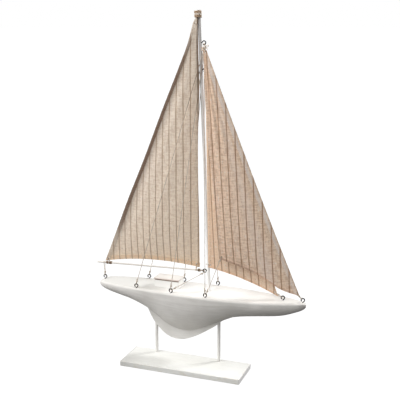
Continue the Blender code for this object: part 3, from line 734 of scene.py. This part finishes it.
# %% Bind the shrouds and bow the end
bundle_wrap, outer_wrap = BUNDLE_RADIUS + CORD, BUNDLE_RADIUS + 1.9 * CORD
bind = winding(BUNDLE + Z * 0.4, -Y * bundle_wrap, X * bundle_wrap, Z, 6, CORD_LAY)
cover = winding(BUNDLE + Z * 7.2, -Y * outer_wrap, X * outer_wrap, -Z, 4, CORD * 1.08)
eye_foot = Vector((BUNDLE.x, 0, mast_ring("mast_eye_upper").z - EYE_MEAN))
hang = arc(eye_foot, -Y * outer_wrap, Z * SNUG, 0, 180, 8)
BOW = [(0.6, 2.2, -2.5), (2.4, 1, -4.2), (5.4, -1.2, -2.2), (8.2, -1.6, -0.6), (9, -0.4, -2.4),
       (6.6, 0.4, -4.4), (3, -0.6, -4.8), (3.6, -2.6, -6), (6.4, -2.6, -6.4), (8.4, -2.2, -8.4)]
bow = [eye_foot + Vector(offset) for offset in BOW]
rig("shroud_lashing", "twine", bind + cover + hang + bow, cream_twine)
print("shrouds bound under the upper mast eye")

# %% [markdown]
# ## Linen
# The sails are cut from striped linen ticking: a plain weave with slubs where a thread is thick, pale
# and dark flecks, pale streaks of painted light where the cloth folds, painted light on the lower
# cloth and thin brown stripes at an even pitch. Hems show darker, because two layers let less light
# through, and their near-black brown is painted shade. The pattern has to follow the cloth, so it
# reads a UV map in metres of cloth and two painted attributes, one for the hems and one for the warm
# glow of light through the cloth, which is painted into the colour. A Translucent shader is mixed in
# for the light from behind.

# %% Weave and stripe the linen
YARN_PITCH = 0.0008


def weave_tone(cloth):
    """Height of the woven yarns, and the lighter and darker slubs along them, each from 0 to 1."""
    across, up, _ = axes(cloth)
    warp = cloth.math("SINE", across * (math.tau / YARN_PITCH))
    weft = cloth.math("SINE", up * (math.tau / YARN_PITCH))
    slubs = noise(cloth, (900, 260, 1)) * 0.55 + noise(cloth, (260, 900, 1)) * 0.45
    return warp * weft * 0.5 + 0.5, slubs


def thick_yarns(cloth):
    """Mask of the thick pale yarns, which run both ways."""
    return step(noise(cloth, (80, 330, 1)) * 0.55 + noise(cloth, (400, 80, 1)) * 0.45, 0.42, 0.56)


def stripes(cloth, first, pitch):
    """Thin woven stripes, whose threads wander a little and come and go."""
    wobble = noise(cloth, (6, 14, 1)) * 0.0016 - 0.0008
    offset = cloth.math("PINGPONG", axes(cloth)[0] - first + wobble, pitch / 2)
    return (1 - step(offset, 0.0004, 0.0016)) * (0.5 + noise(cloth, (300, 160, 1), 3) * 0.8)


print("weave, yarns and stripes ready")

# %% Colour the linen and let light through
# Painted light: pale fold streaks and a lighter lower sail. Painted shade: the near-black brown of the hems.
FOLD_LIGHT, LOW_LIGHT, LINT = (1.0, 0.88, 0.79), (1.0, 0.92, 0.79), (1.0, 0.94, 0.86)
BINDING, HEM_SHADE = (0.89, 0.84, 0.79), (0.12, 0.064, 0.034)
SEE_THROUGH, HEM_LOSS = 0.17, 0.12


def linen(name, pale, deep, stripe, glow, first_stripe, pitch, lower_light):
    """Striped linen; a hem tone above 0 is doubled cloth in a dark painted shade, and one below 0 is pale
    binding.
    """
    mat, start, shader = new_finish(name, 0.9, Sheen_Weight=0.15, Sheen_Roughness=0.6)
    cloth = start.node("UVMap", {"uv_map": "cloth"}, {})
    hem, warmth = (start.node("Attribute", {"attribute_name": layer}, {}, 2)
                   for layer in ("hem_tone", "warmth"))
    doubled, bound = start.math("MAXIMUM", hem, 0), start.math("MAXIMUM", hem * -1, 0)
    weave, slubs = weave_tone(cloth)
    knots = thick_yarns(cloth)
    blotch, streaks = noise(cloth, (26, 18, 1), 3), noise(cloth, (80, 4, 1))
    tone = step(blotch * 0.15 + slubs * 1.1 + weave * 0.1 + streaks * 0.4 + knots * 0.2, 0.50, 0.98)
    along, up, _ = axes(cloth)
    low = (1 - step(up - along * 0.8, 0.20, 0.42)) * lower_light
    # Painted light: fold streaks, a lighter lower sail and the warm glow of light through the cloth; the
    # hems' brown is painted shade.
    feed(shader, "Base Color", coats(
        blend(tone, deep, pale),
        (step(noise(cloth, (34, 4, 1)), 0.48, 0.68) * 0.3, FOLD_LIGHT),
        (low, LOW_LIGHT),
        (warmth * (0.45 + slubs * 0.7), glow),
        (step(noise(cloth, (340, 210, 1), 3), 0.58, 0.68) * 0.9, LINT),
        (step(noise(cloth, (220, 380, 1), 3), 0.63, 0.72) * 0.8, stripe),
        ((1 - knots) * (0.50 - low * 0.18), deep),
        (bound * (0.4 + slubs * 0.6), BINDING),
        (stripes(cloth, first_stripe, pitch), stripe),
        (doubled * (0.70 + slubs * 0.5), HEM_SHADE)))
    feed(shader, "Roughness", 0.82 + slubs * 0.15)
    relief(shader, weave * 0.4 + slubs * 0.9, 0.0006)
    front = Signal(mat.node_tree, shader.outputs[0])
    through = start.node("BsdfTranslucent", {}, {"Color": (*glow, 1)})
    both = start.node("MixShader", {}, {0: SEE_THROUGH - doubled * HEM_LOSS, 1: front, 2: through})
    feed(mat.node_tree.nodes["Material Output"], "Surface", both)
    return mat


print("linen ready to dye")

# %% Make three linens
main_linen = linen("main_linen", pale=(1.0, 0.92, 0.80), deep=(0.71, 0.57, 0.445), stripe=(0.42, 0.29, 0.19),
                   glow=(1.0, 0.75, 0.50), first_stripe=0.0041, pitch=0.01357, lower_light=0.85)
jib_linen = linen("jib_linen", pale=(1.0, 0.84, 0.65), deep=(0.60, 0.41, 0.26), stripe=(0.39, 0.22, 0.12),
                  glow=(1.0, 0.69, 0.51), first_stripe=0.0800, pitch=0.0139, lower_light=0.05)
inner_linen = linen("inner_linen", pale=(1.0, 0.90, 0.72), deep=(0.82, 0.60, 0.42), stripe=(0.42, 0.24, 0.13),
                    glow=(1.0, 0.70, 0.47), first_stripe=0.0800, pitch=0.0139, lower_light=0.5)
print("three linens")

# %% [markdown]
# ## Cutting a sail
# A sail starts as a grid whose columns are set by distance, so that the sewn hems keep their width
# while the triangle narrows. Every grid point then moves to its place on the sail's surface, with
# small puckers beside the seams. Solidify gives the cloth its thickness, twice as much at a hem, and
# a Boolean opens the corner holes. The sails share this cut and differ in numbers: the widths of their
# hems, their folds, and the tones of their edges, which darken above 0 and lighten below. The main's
# dark leech and upper luff and the soft shade past a hem are painted shade, and the warmth is a
# painted glow of light through the cloth.

# %% Set out the grid
HEM_MARKS = (0, 0.45, 0.9, 1)
MIDDLE_COLUMNS, MIDDLE_ROWS = 36, 84
# A column is its shares of the luff hem, the open cloth and the leech hem.
COLUMNS = [(mark, 0, 0) for mark in HEM_MARKS]
COLUMNS += [(1, i / MIDDLE_COLUMNS, 0) for i in range(1, MIDDLE_COLUMNS)]
COLUMNS += [(1, 1, 1 - mark) for mark in reversed(HEM_MARKS)]
# A row is its shares of the foot hem and the cloth above it.
ROWS = [(mark, 0) for mark in HEM_MARKS] + [(1, i / MIDDLE_ROWS) for i in range(1, MIDDLE_ROWS + 1)]
print(len(COLUMNS), "columns and", len(ROWS), "rows in each sail")

# %% Set the hems, folds and tones
MEASURES = ("luff_hem", "leech_hem", "foot_hem", "lean", "luff_rim",
            "fan_count", "fan_depth", "ripple_pitch", "ripple_depth", "ripple_reach")
for sail, measures in ((MAINSAIL, (4.2, 12, 10, 0, 0.15, 2.5, 0.8, 34, 1.1, 55)),
                       (INNER_JIB, (5, 6, 5, 0.06, 0.3, 4, 0.4, 13, 0.5, 20)),
                       (OUTER_JIB, (11, 4, 5, 0.085, 0.6, 4.5, 1.3, 17, 0.9, 26))):
    sail |= dict(zip(MEASURES, measures))
# The main's dark leech and upper luff tones, and the soft shade set past each hem, are painted shade.
MAINSAIL |= {"shade": {"luff": (0.3, 5), "leech": (0.58, 11), "foot": (0.4, 8)},
             "luff_tone": [(0, 0), (0.4, 0.03), (0.6, 0.12), (0.75, 0.65), (1, 0.8)],
             "leech_tone": [(0, 0.3), (0.08, 0.5), (0.2, 1), (0.8, 1), (0.9, 0.8), (0.96, 0.25), (1, 0.1)],
             "warm_across": [(0, 0.35), (0.15, 0.15), (1, 0)], "warm_up": [(0, 0.2), (0.2, 0.08), (1, 0)]}
INNER_JIB |= {"shade": {"luff": (0.2, 6), "leech": (0.2, 6), "foot": (0.2, 6)},
              "luff_tone": [(0, 0.2), (1, 0.2)],
              "warm_across": [(0, 0.3), (0.8, 0.4), (1, 0.75)], "warm_up": [(0, 0.1), (1, 0.1)]}
OUTER_JIB |= {"pale": [(0, 0), (0.18, 0.1), (0.36, 0.5), (0.55, 0.1), (1, 0)],
              "shade": {"luff": (-0.2, 14), "leech": (0.2, 6), "foot": (0.35, 8)},
              "luff_tone": [(0, -0.6), (0.2, -0.95), (0.7, -0.9), (1, -0.6)],
              "leech_tone": [(0, 0.1), (1, 0.1)], "foot_tone": [(0, 0.35), (1, 0.35)],
              "warm_across": [(0, 0), (0.4, 0.15), (1, 0.5)], "warm_up": [(0, 0), (0.6, 0.12), (1, 0.2)]}
print("hems, folds and tones set for three sails")

# %% Fold and pucker the cloth
def gather(sail, u, v, run, width):
    """Depth of the soft folds in millimetres: some fan out of the head, some lie along the leech."""
    fan = math.sin(math.tau * sail["fan_count"] * u) * math.sin(math.pi * v ** 1.6) * (0.15 + 0.85 * u ** 2)
    off = width - run
    along = math.sin(math.tau * off / sail["ripple_pitch"] + 3 * v) * math.exp(-off / sail["ripple_reach"])
    return sail["fan_depth"] * fan + sail["ripple_depth"] * along * math.sin(math.pi * v)


def pucker(point, edge):
    """Small waves that the stitching pulls into the cloth beside an edge."""
    return math.sin(point.z * 0.62 + point.x * 0.35) * math.exp(-edge / 7) * 0.35


def edge_share(inside, past, soft, reach):
    """Strength of an edge's tone: whole on the hem, softer and fading on the cloth past it as painted shade.
    """
    return 1 if inside else soft * math.exp(-max(past, 0) / reach)


print("folds ready")

# %% Work out one point of cloth
# The warmth is a painted glow of light coming through the cloth, strongest along the foot.
WARM_FOOT = 0.85


def cloth_at(sail, column, row):
    """Place, cloth coordinates, hem share, hem tone and warmth of one grid point."""
    luff_part, middle_part, leech_part = column
    foot_part, body_part = row
    height = sail["head"][2] - sail["tack"][2]
    foot_share = sail["foot_hem"] / height
    v = foot_part * foot_share + body_part * (1 - foot_share)
    luff, leech = sail_edges(sail, v)
    width = (leech - luff).length
    fit = min(1, 0.8 * width / (sail["luff_hem"] + sail["leech_hem"]))
    luff_hem, leech_hem = sail["luff_hem"] * fit, sail["leech_hem"] * fit * (1 - 0.4 * v)
    run = luff_part * luff_hem + middle_part * (width - luff_hem - leech_hem) + leech_part * leech_hem
    u = min(1, run / width)
    point = sail_point(sail, u, v)
    cloth = (point.x + sail["lean"] * (point.z - sail["clew"][2]), point.z)
    held = min(1, 12 * v, 12 * (1 - v), (run + 2) / 12, (width - run + 2) / 12)
    point.y -= gather(sail, u, v, run, width) * held + pucker(point, min(run, width - run, v * height))
    hems = {"luff": luff_part < 0.95, "leech": leech_part > 0.05, "foot": foot_part < 0.95}
    past = {"luff": run - luff_hem, "leech": width - run - leech_hem, "foot": v * height - sail["foot_hem"]}
    shares = {edge: edge_share(hems[edge], past[edge], *sail["shade"][edge]) for edge in hems}
    tones = [fair(sail[edge + "_tone"], v) * share for edge, share in shares.items()]
    rim = max(sail["luff_rim"], fair(sail["luff_tone"], v))
    tone = rim if luff_part == 0 else max(tones, key=abs) - fair(sail["pale"], u)
    warmth = fair(sail["warm_across"], u) + fair(sail["warm_up"], v) + WARM_FOOT * shares["foot"]
    return point, cloth, float(any(hems.values())), tone, warmth


print("a foot point at", [round(value, 1) for value in cloth_at(MAINSAIL, COLUMNS[20], ROWS[0])[0]], "mm")

# %% Cut a sail from the grid
def cut_sail(node, sail, mat):
    """A sheet of no thickness, with its cloth coordinates, hem group and tones."""
    bm = bmesh.new()
    bmesh.ops.create_grid(bm, x_segments=len(COLUMNS) - 1, y_segments=len(ROWS) - 1, size=0.5)
    hems = bm.verts.layers.deform.verify()
    tones, warmths = bm.verts.layers.float.new("hem_tone"), bm.verts.layers.float.new("warmth")
    cloth_uv = bm.loops.layers.uv.new("cloth")
    flat = {}
    for vert in bm.verts:
        column = COLUMNS[round((vert.co.x + 0.5) * (len(COLUMNS) - 1))]
        row = ROWS[round((vert.co.y + 0.5) * (len(ROWS) - 1))]
        point, flat[vert], hem, vert[tones], vert[warmths] = cloth_at(sail, column, row)
        vert[hems][0] = hem
        vert.co = framed(point)
    for face in bm.faces:
        for loop in face.loops:
            loop[cloth_uv].uv = Vector(flat[loop.vert]) * 0.001
    bmesh.ops.recalc_face_normals(bm, faces=bm.faces)
    sheet = placed(node + "_cloth", mesh_from(bm, node + "_cloth"))
    sheet.data.materials.append(mat)
    sheet.vertex_groups.new(name="hem")
    return sheet


print("sail cutter ready")

# %% Thicken the cloth and open its corners
CLOTH, HOLE_RADIUS, PUNCH_DEPTH = 0.0011, 0.0012, 0.02


def open_holes(sheet, sail):
    """Solid cloth with a round hole at each tied corner, as one plain mesh."""
    thick = sheet.modifiers.new("thickness", "SOLIDIFY")
    thick.thickness = CLOTH
    thick.offset = 0
    thick.vertex_group = "hem"
    thick.thickness_vertex_group = 0.5
    punch_bm = bmesh.new()
    for corner in sail["holes"]:
        spot = Matrix.Translation(framed(corner_hole(sail, corner))) @ Matrix.Rotation(math.pi / 2, 4, "X")
        bmesh.ops.create_cone(punch_bm, cap_ends=True, segments=20, radius1=HOLE_RADIUS,
                              radius2=HOLE_RADIUS, depth=PUNCH_DEPTH, matrix=spot)
    punch = placed("punch", mesh_from(punch_bm, "punch"))
    cut = sheet.modifiers.new("holes", "BOOLEAN")
    cut.object = punch
    solid = evaluated_mesh(sheet)
    sheet.modifiers.clear()
    sheet.data = solid
    solid.shade_smooth()
    solid.set_sharp_from_angle(angle=math.radians(60))
    bpy.data.objects.remove(punch, do_unlink=True)


print("hole punch ready")

# %% [markdown]
# ## Sewing
# A row of short stitches holds each hem, and thread is worked round each corner hole. A stitch is so
# small that a stretched icosphere of twenty faces is enough, set half into the cloth on either side.
# The worked hole is a small circle spun round the hole's axis.

# %% Sew the hems
STITCH_PITCH, STITCH = 3.2, (1.1, 0.26, 0.3)
SEAM_IN, SEAM_OUT = 0.82, 0.18
RING_REACH, RING_THREAD = 1.6, 0.0006
SORT_ALONG = Vector((1, 0.618, 0.414))


def seam_line(sail, seam):
    """Close points along the inner edge of one hem."""
    shares = [i / 400 for i in range(8, 393)]
    if seam == "foot":
        return [cloth_at(sail, (1, share, 0), (SEAM_IN, 0))[0] for share in shares]
    column = (SEAM_IN, 0, 0) if seam == "luff" else (1, 1, SEAM_OUT)
    return [cloth_at(sail, column, (1, share))[0] for share in shares]


def sew(bm, line):
    """Add stitches of one pitch along a line of points."""
    travelled = 0
    for before, after in zip(line, line[1:]):
        travelled += (after - before).length
        if travelled < STITCH_PITCH:
            continue
        travelled = 0
        along = (after - before).normalized()
        turn = Matrix((along, along.cross(Y).normalized(), Y)).transposed().to_4x4()
        for side in (-0.5, 0.5):
            spot = Matrix.Translation(framed(after + Y * side)) @ turn
            shape = Matrix.Diagonal((*STITCH, 1)) * 0.001
            shape[3][3] = 1
            bmesh.ops.create_icosphere(bm, subdivisions=1, radius=1, matrix=spot @ shape)


def work_hole(bm, centre):
    """Add a ring of thread round a corner hole."""
    rim = Matrix.Translation(framed(centre + X * RING_REACH))
    circle = bmesh.ops.create_circle(bm, segments=8, radius=RING_THREAD, matrix=rim)
    edges = {edge for vert in circle["verts"] for edge in vert.link_edges}
    bmesh.ops.spin(bm, geom=circle["verts"] + list(edges), cent=framed(centre), axis=Y, angle=math.tau,
                   steps=24, use_merge=True)


def sewing(node, sail, mat):
    """All the thread of one sail."""
    bm = bmesh.new()
    for seam in ("luff", "leech", "foot"):
        sew(bm, seam_line(sail, seam))
    for corner in sail["holes"]:
        work_hole(bm, corner_hole(sail, corner))
    bmesh.ops.recalc_face_normals(bm, faces=bm.faces)
    # Spin lists its parts in no fixed order, so they are sorted by place.
    bm.verts.sort(key=lambda vert: vert.co.dot(SORT_ALONG))
    bm.faces.sort(key=lambda face: face.calc_center_median().dot(SORT_ALONG))
    thread = placed(node + "_sewing", mesh_from(bm, node + "_sewing"))
    thread.data.shade_smooth()
    thread.data.materials.append(mat)
    return thread


sail_thread = cord_finish("sail_thread", (0.66, 0.50, 0.37), (0.36, 0.25, 0.17))
print("needle and thread ready")

# %% Make the three sails
for node, sail, mat, body, slot, flat, area in (
        ("mainsail", MAINSAIL, main_linen, SWING, "main_linen", (0.2, 0.47), 0.047),
        ("inner_jib", INNER_JIB, inner_linen, ROOT, "jib_linen", (0.115, 0.417), 0.0245),
        ("outer_jib", OUTER_JIB, jib_linen, ROOT, "jib_linen", (0.118, 0.470), 0.029)):
    sheet = cut_sail(node, sail, mat)
    open_holes(sheet, sail)
    replace(sheet, node, body)
    thread = sewing(node, sail, sail_thread)
    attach(thread, body)
    print(node, len(sheet.data.polygons), "faces of cloth and", len(thread.data.polygons), "of thread")

# %% [markdown]
# ## Painted wood
# Hull, stand, deckhouse and spars are wood under white brushed paint. White paint is never one white:
# it has warm and grey patches, brush lines along the grain and a little gloss that comes and goes.
# The CAD shapes are right as they are, so they keep their meshes and get this finish. A piece with marks
# of its own has a trim function, which masks them by height, side or end; most of these marks are
# painted shade and light.

# %% Mix the paint
def painted_wood(name, pale, worn, stretch, patchy, trim):
    """Brushed paint; a trim function may change its colour where the piece is marked."""
    mat, start, shader = new_finish(name, 0.5)
    place = object_place(start)
    patches = noise(place, (16, 16, 16), 4)
    bristles = noise(place, stretch, 3)
    specks = step(noise(place, (480, 480, 480)), 0.70, 0.80)
    shade = step(patches * 0.8 + bristles * 0.35, 0.38, 0.78)
    colour = coats(worn, (shade * patchy + (1 - patchy), pale), (specks * 0.3, worn))
    if trim:
        colour = trim(colour, place, *axes(place))
    feed(shader, "Base Color", colour)
    feed(shader, "Roughness", 0.42 + bristles * 0.25)
    relief(shader, bristles * 0.7 + patches * 0.5, 0.0005)
    return mat


print("paint recipe ready")

# %% Trim the mast and the deckhouse
MAST_SHADE, SAIL_SHADOW = (0.42, 0.38, 0.36), (0.19, 0.15, 0.12)
OVERHANG_SHADOW, RUBBED_PINK_SHADE = (0.27, 0.20, 0.15), (0.72, 0.60, 0.54)
HOUSE_HALF, ROOF_HALF = 0.013, 0.0145


def mast_trim(colour, place, x, y, z):
    """The mast carries painted shade: the sail's shadow down its aft side, and a greyer top."""
    aft = mast_axis(0).x * 0.001 - z * MAST_RAKE - x
    # Painted shade: the top greys, and the aft side darkens in the sail's shadow.
    top_shade = step(z, 0.36, 0.46) * 0.2 + step(z, 0.52, 0.60) * (0.2 + noise(place, (90, 90, 30)) * 0.5)
    return coats(colour, (top_shade, MAST_SHADE), (step(aft, 0.0018, 0.0027) * 0.45, MAST_SHADE),
                 (step(aft, -0.0006, 0.0012) * step(z, 0.36, 0.52) * 0.85, SAIL_SHADOW))


def side_faces(y, half_width):
    """Mask of a deckhouse piece's two long sides."""
    return step(y.math("ABSOLUTE", y - BOAT_OFFSET.y * 0.001), half_width - 0.0007, half_width - 0.0003)


def house_trim(colour, place, x, y, z):
    """A dark line of painted shadow under the roof."""
    # Painted shadow under the roof's overhang.
    return blend(side_faces(y, HOUSE_HALF) * step(z, 0.1639, 0.1645), colour, OVERHANG_SHADOW)


def roof_trim(colour, place, x, y, z):
    """The roof's long edges are rubbed pink and in painted shade, with a dark painted shadow underneath."""
    edge = side_faces(y, ROOF_HALF)
    # Pink edges are rubbed paint and painted shade; below them is painted shadow.
    return coats(colour, (edge * 0.8, RUBBED_PINK_SHADE), (edge * (1 - step(z, 0.1664, 0.1670)), OVERHANG_SHADOW))


print("mast and deckhouse trims ready")

# %% Trim the hull and the board
HULL_SHADE, DECK_LIGHT, AFT_DECK_TONE = (0.40, 0.38, 0.35), (0.97, 0.96, 0.94), (0.66, 0.65, 0.62)
CREAM, BOARD_SHADOW, END_LIGHT = (0.70, 0.65, 0.55), (0.42, 0.41, 0.39), (1.0, 0.98, 0.97)
FIN_MIDDLE, CREASE_LOW = -0.020, 0.065


def hull_trim(colour, place, x, y, z):
    """Painted shade above the fin, under both ends and forward; painted light on deck amidships; a darker aft
    deck.
    """
    run = x - FIN_MIDDLE
    crease = CREASE_LOW + run * run * (9.1 - 4.5 * step(run, -0.004, 0.004))
    shade = (1 - step(z - crease, 0.001, 0.026)) * (1 - step(z, 0.098, 0.118))
    ends = (1 - step(z, 0.120, 0.142)) * step(x.math("ABSOLUTE", run), 0.09, 0.13)
    deck, forward = step(z, 0.1492, 0.1498), step(x, -0.07, -0.03)
    fore = (1 - deck) * step(x, 0.005, 0.05) * (1 - step(x, 0.11, 0.15))
    # Painted shade in the crease, under the ends and forward, and painted light on the deck amidships.
    return coats(colour, (x.math("MAXIMUM", shade * 0.5, ends * 0.3), HULL_SHADE), (fore * 0.22, HULL_SHADE),
                 (deck * forward * (1 - step(x, 0.08, 0.13)) * 0.5, DECK_LIGHT),
                 (deck * (1 - forward) * 0.8, AFT_DECK_TONE))


def board_trim(colour, place, x, y, z):
    """The board's edges are rubbed here and there; its aft corner and end have painted shadow, its fore end
    painted light.
    """
    ends = step(x.math("ABSOLUTE", x), 0.1176, 0.1196)
    sides = step(y.math("ABSOLUTE", y), 0.0352, 0.0372)
    rubbed = step(noise(place, (70, 70, 160), 3), 0.50, 0.66)
    corner = (1 - step(x, -0.120, -0.070)) * (1 - step(y, -0.022, 0.020))
    aft_end = 1 - step(x, -0.1195, -0.1165)
    # Rubbed edges, painted shadow at the aft corner and end, and painted light on the fore end face.
    return coats(colour, (x.math("MAXIMUM", ends, sides) * rubbed * 0.45, CREAM),
                 (x.math("MAXIMUM", corner * 0.42, aft_end * 0.5), BOARD_SHADOW),
                 (step(x, 0.1196, 0.1199) * 0.9, END_LIGHT))


print("hull and board trims ready")

# %% Brush on the paint
ALONG, UPRIGHT = (25, 380, 380), (420, 420, 25)
PATCHY, HULL_PATCHY = 0.55, 0.6
for name, pale, worn, stretch, patchy, trim, nodes in (
        ("hull_paint", (0.81, 0.785, 0.75), (0.56, 0.535, 0.495), ALONG, HULL_PATCHY, hull_trim, ["hull"]),
        ("fin_paint", (0.82, 0.80, 0.77), (0.62, 0.60, 0.56), ALONG, PATCHY, None, ["keel_fin"]),
        ("board_paint", (0.84, 0.835, 0.80), (0.70, 0.69, 0.64), ALONG, PATCHY, board_trim, ["base_board"]),
        ("house_paint", (0.97, 0.965, 0.94), (0.86, 0.84, 0.80), ALONG, PATCHY, house_trim, ["deckhouse"]),
        ("roof_paint_along", (0.80, 0.77, 0.73), (0.68, 0.63, 0.58), ALONG, PATCHY, roof_trim,
         ["deckhouse_roof"]),
        ("post_paint", (0.88, 0.87, 0.84), (0.68, 0.65, 0.61), UPRIGHT, PATCHY, None,
         ["stand_post_aft", "stand_post_fore"]),
        ("mast_paint", (0.97, 0.96, 0.94), (0.87, 0.85, 0.82), UPRIGHT, PATCHY, mast_trim, ["mast"]),
        ("boom_wood", (0.78, 0.74, 0.69), (0.52, 0.48, 0.43), ALONG, PATCHY, None, ["boom"])):
    paint = painted_wood(name, pale, worn, stretch, patchy, trim)
    for node in nodes:
        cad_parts[node].data.materials.clear()
        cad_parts[node].data.materials.append(paint)
print("nine wooden pieces painted")

# %% [markdown]
# ## Screw eyes
# Twelve small screw eyes hold the rigging. Each is one dark wire, bent into an open ring over a short
# shank. A torus would have no gap, so the wire follows a drawn path, and a round bevel makes it solid.

# %% Bend the screw eyes
dark_wire, wire, shader = new_finish("dark_wire", 0.35, Metallic=0.85)
tarnish = noise(object_place(wire), (700, 700, 700), 3)
feed(shader, "Base Color", blend(step(tarnish, 0.35, 0.7), (0.025, 0.024, 0.023), (0.07, 0.066, 0.06)))
feed(shader, "Roughness", 0.25 + tarnish * 0.3)
relief(shader, tarnish, 0.00005)
WIRE_SPACING, DECK_SHANK, MAST_SHANK = 0.6, 8, 4


def screw_eye(node, surface, out, across, shank):
    """One eye: a shank below a surface, and an open ring that stands out of it."""
    centre = surface + out * EYE_RISE
    ring = arc(centre, across * EYE_MEAN, out * EYE_MEAN, -62, 235, 30)
    knots = [surface - out * shank, surface - out * 0.1, surface + out * 0.45 + across * 0.3] + ring
    route = [framed(point) for point in smooth_route(knots, WIRE_SPACING)]
    data, spline = drawn(node + "_wire", route)
    data.bevel_depth = EYE_WIRE / 2 * 0.001
    data.bevel_resolution = 3
    spline.use_smooth = True
    data.materials.append(dark_wire)
    replace(placed(node + "_wire", data), node, ROOT)


for eye, (x, y) in DECK_EYES.items():
    screw_eye(eye + "_eye", Vector((x, y, DECK_Z)), Z, X, DECK_SHANK)
for eye, (z, side) in MAST_EYES.items():
    screw_eye(eye, mast_face(eye), X * side, Z, MAST_SHANK)
print(len(DECK_EYES) + len(MAST_EYES), "screw eyes bent")
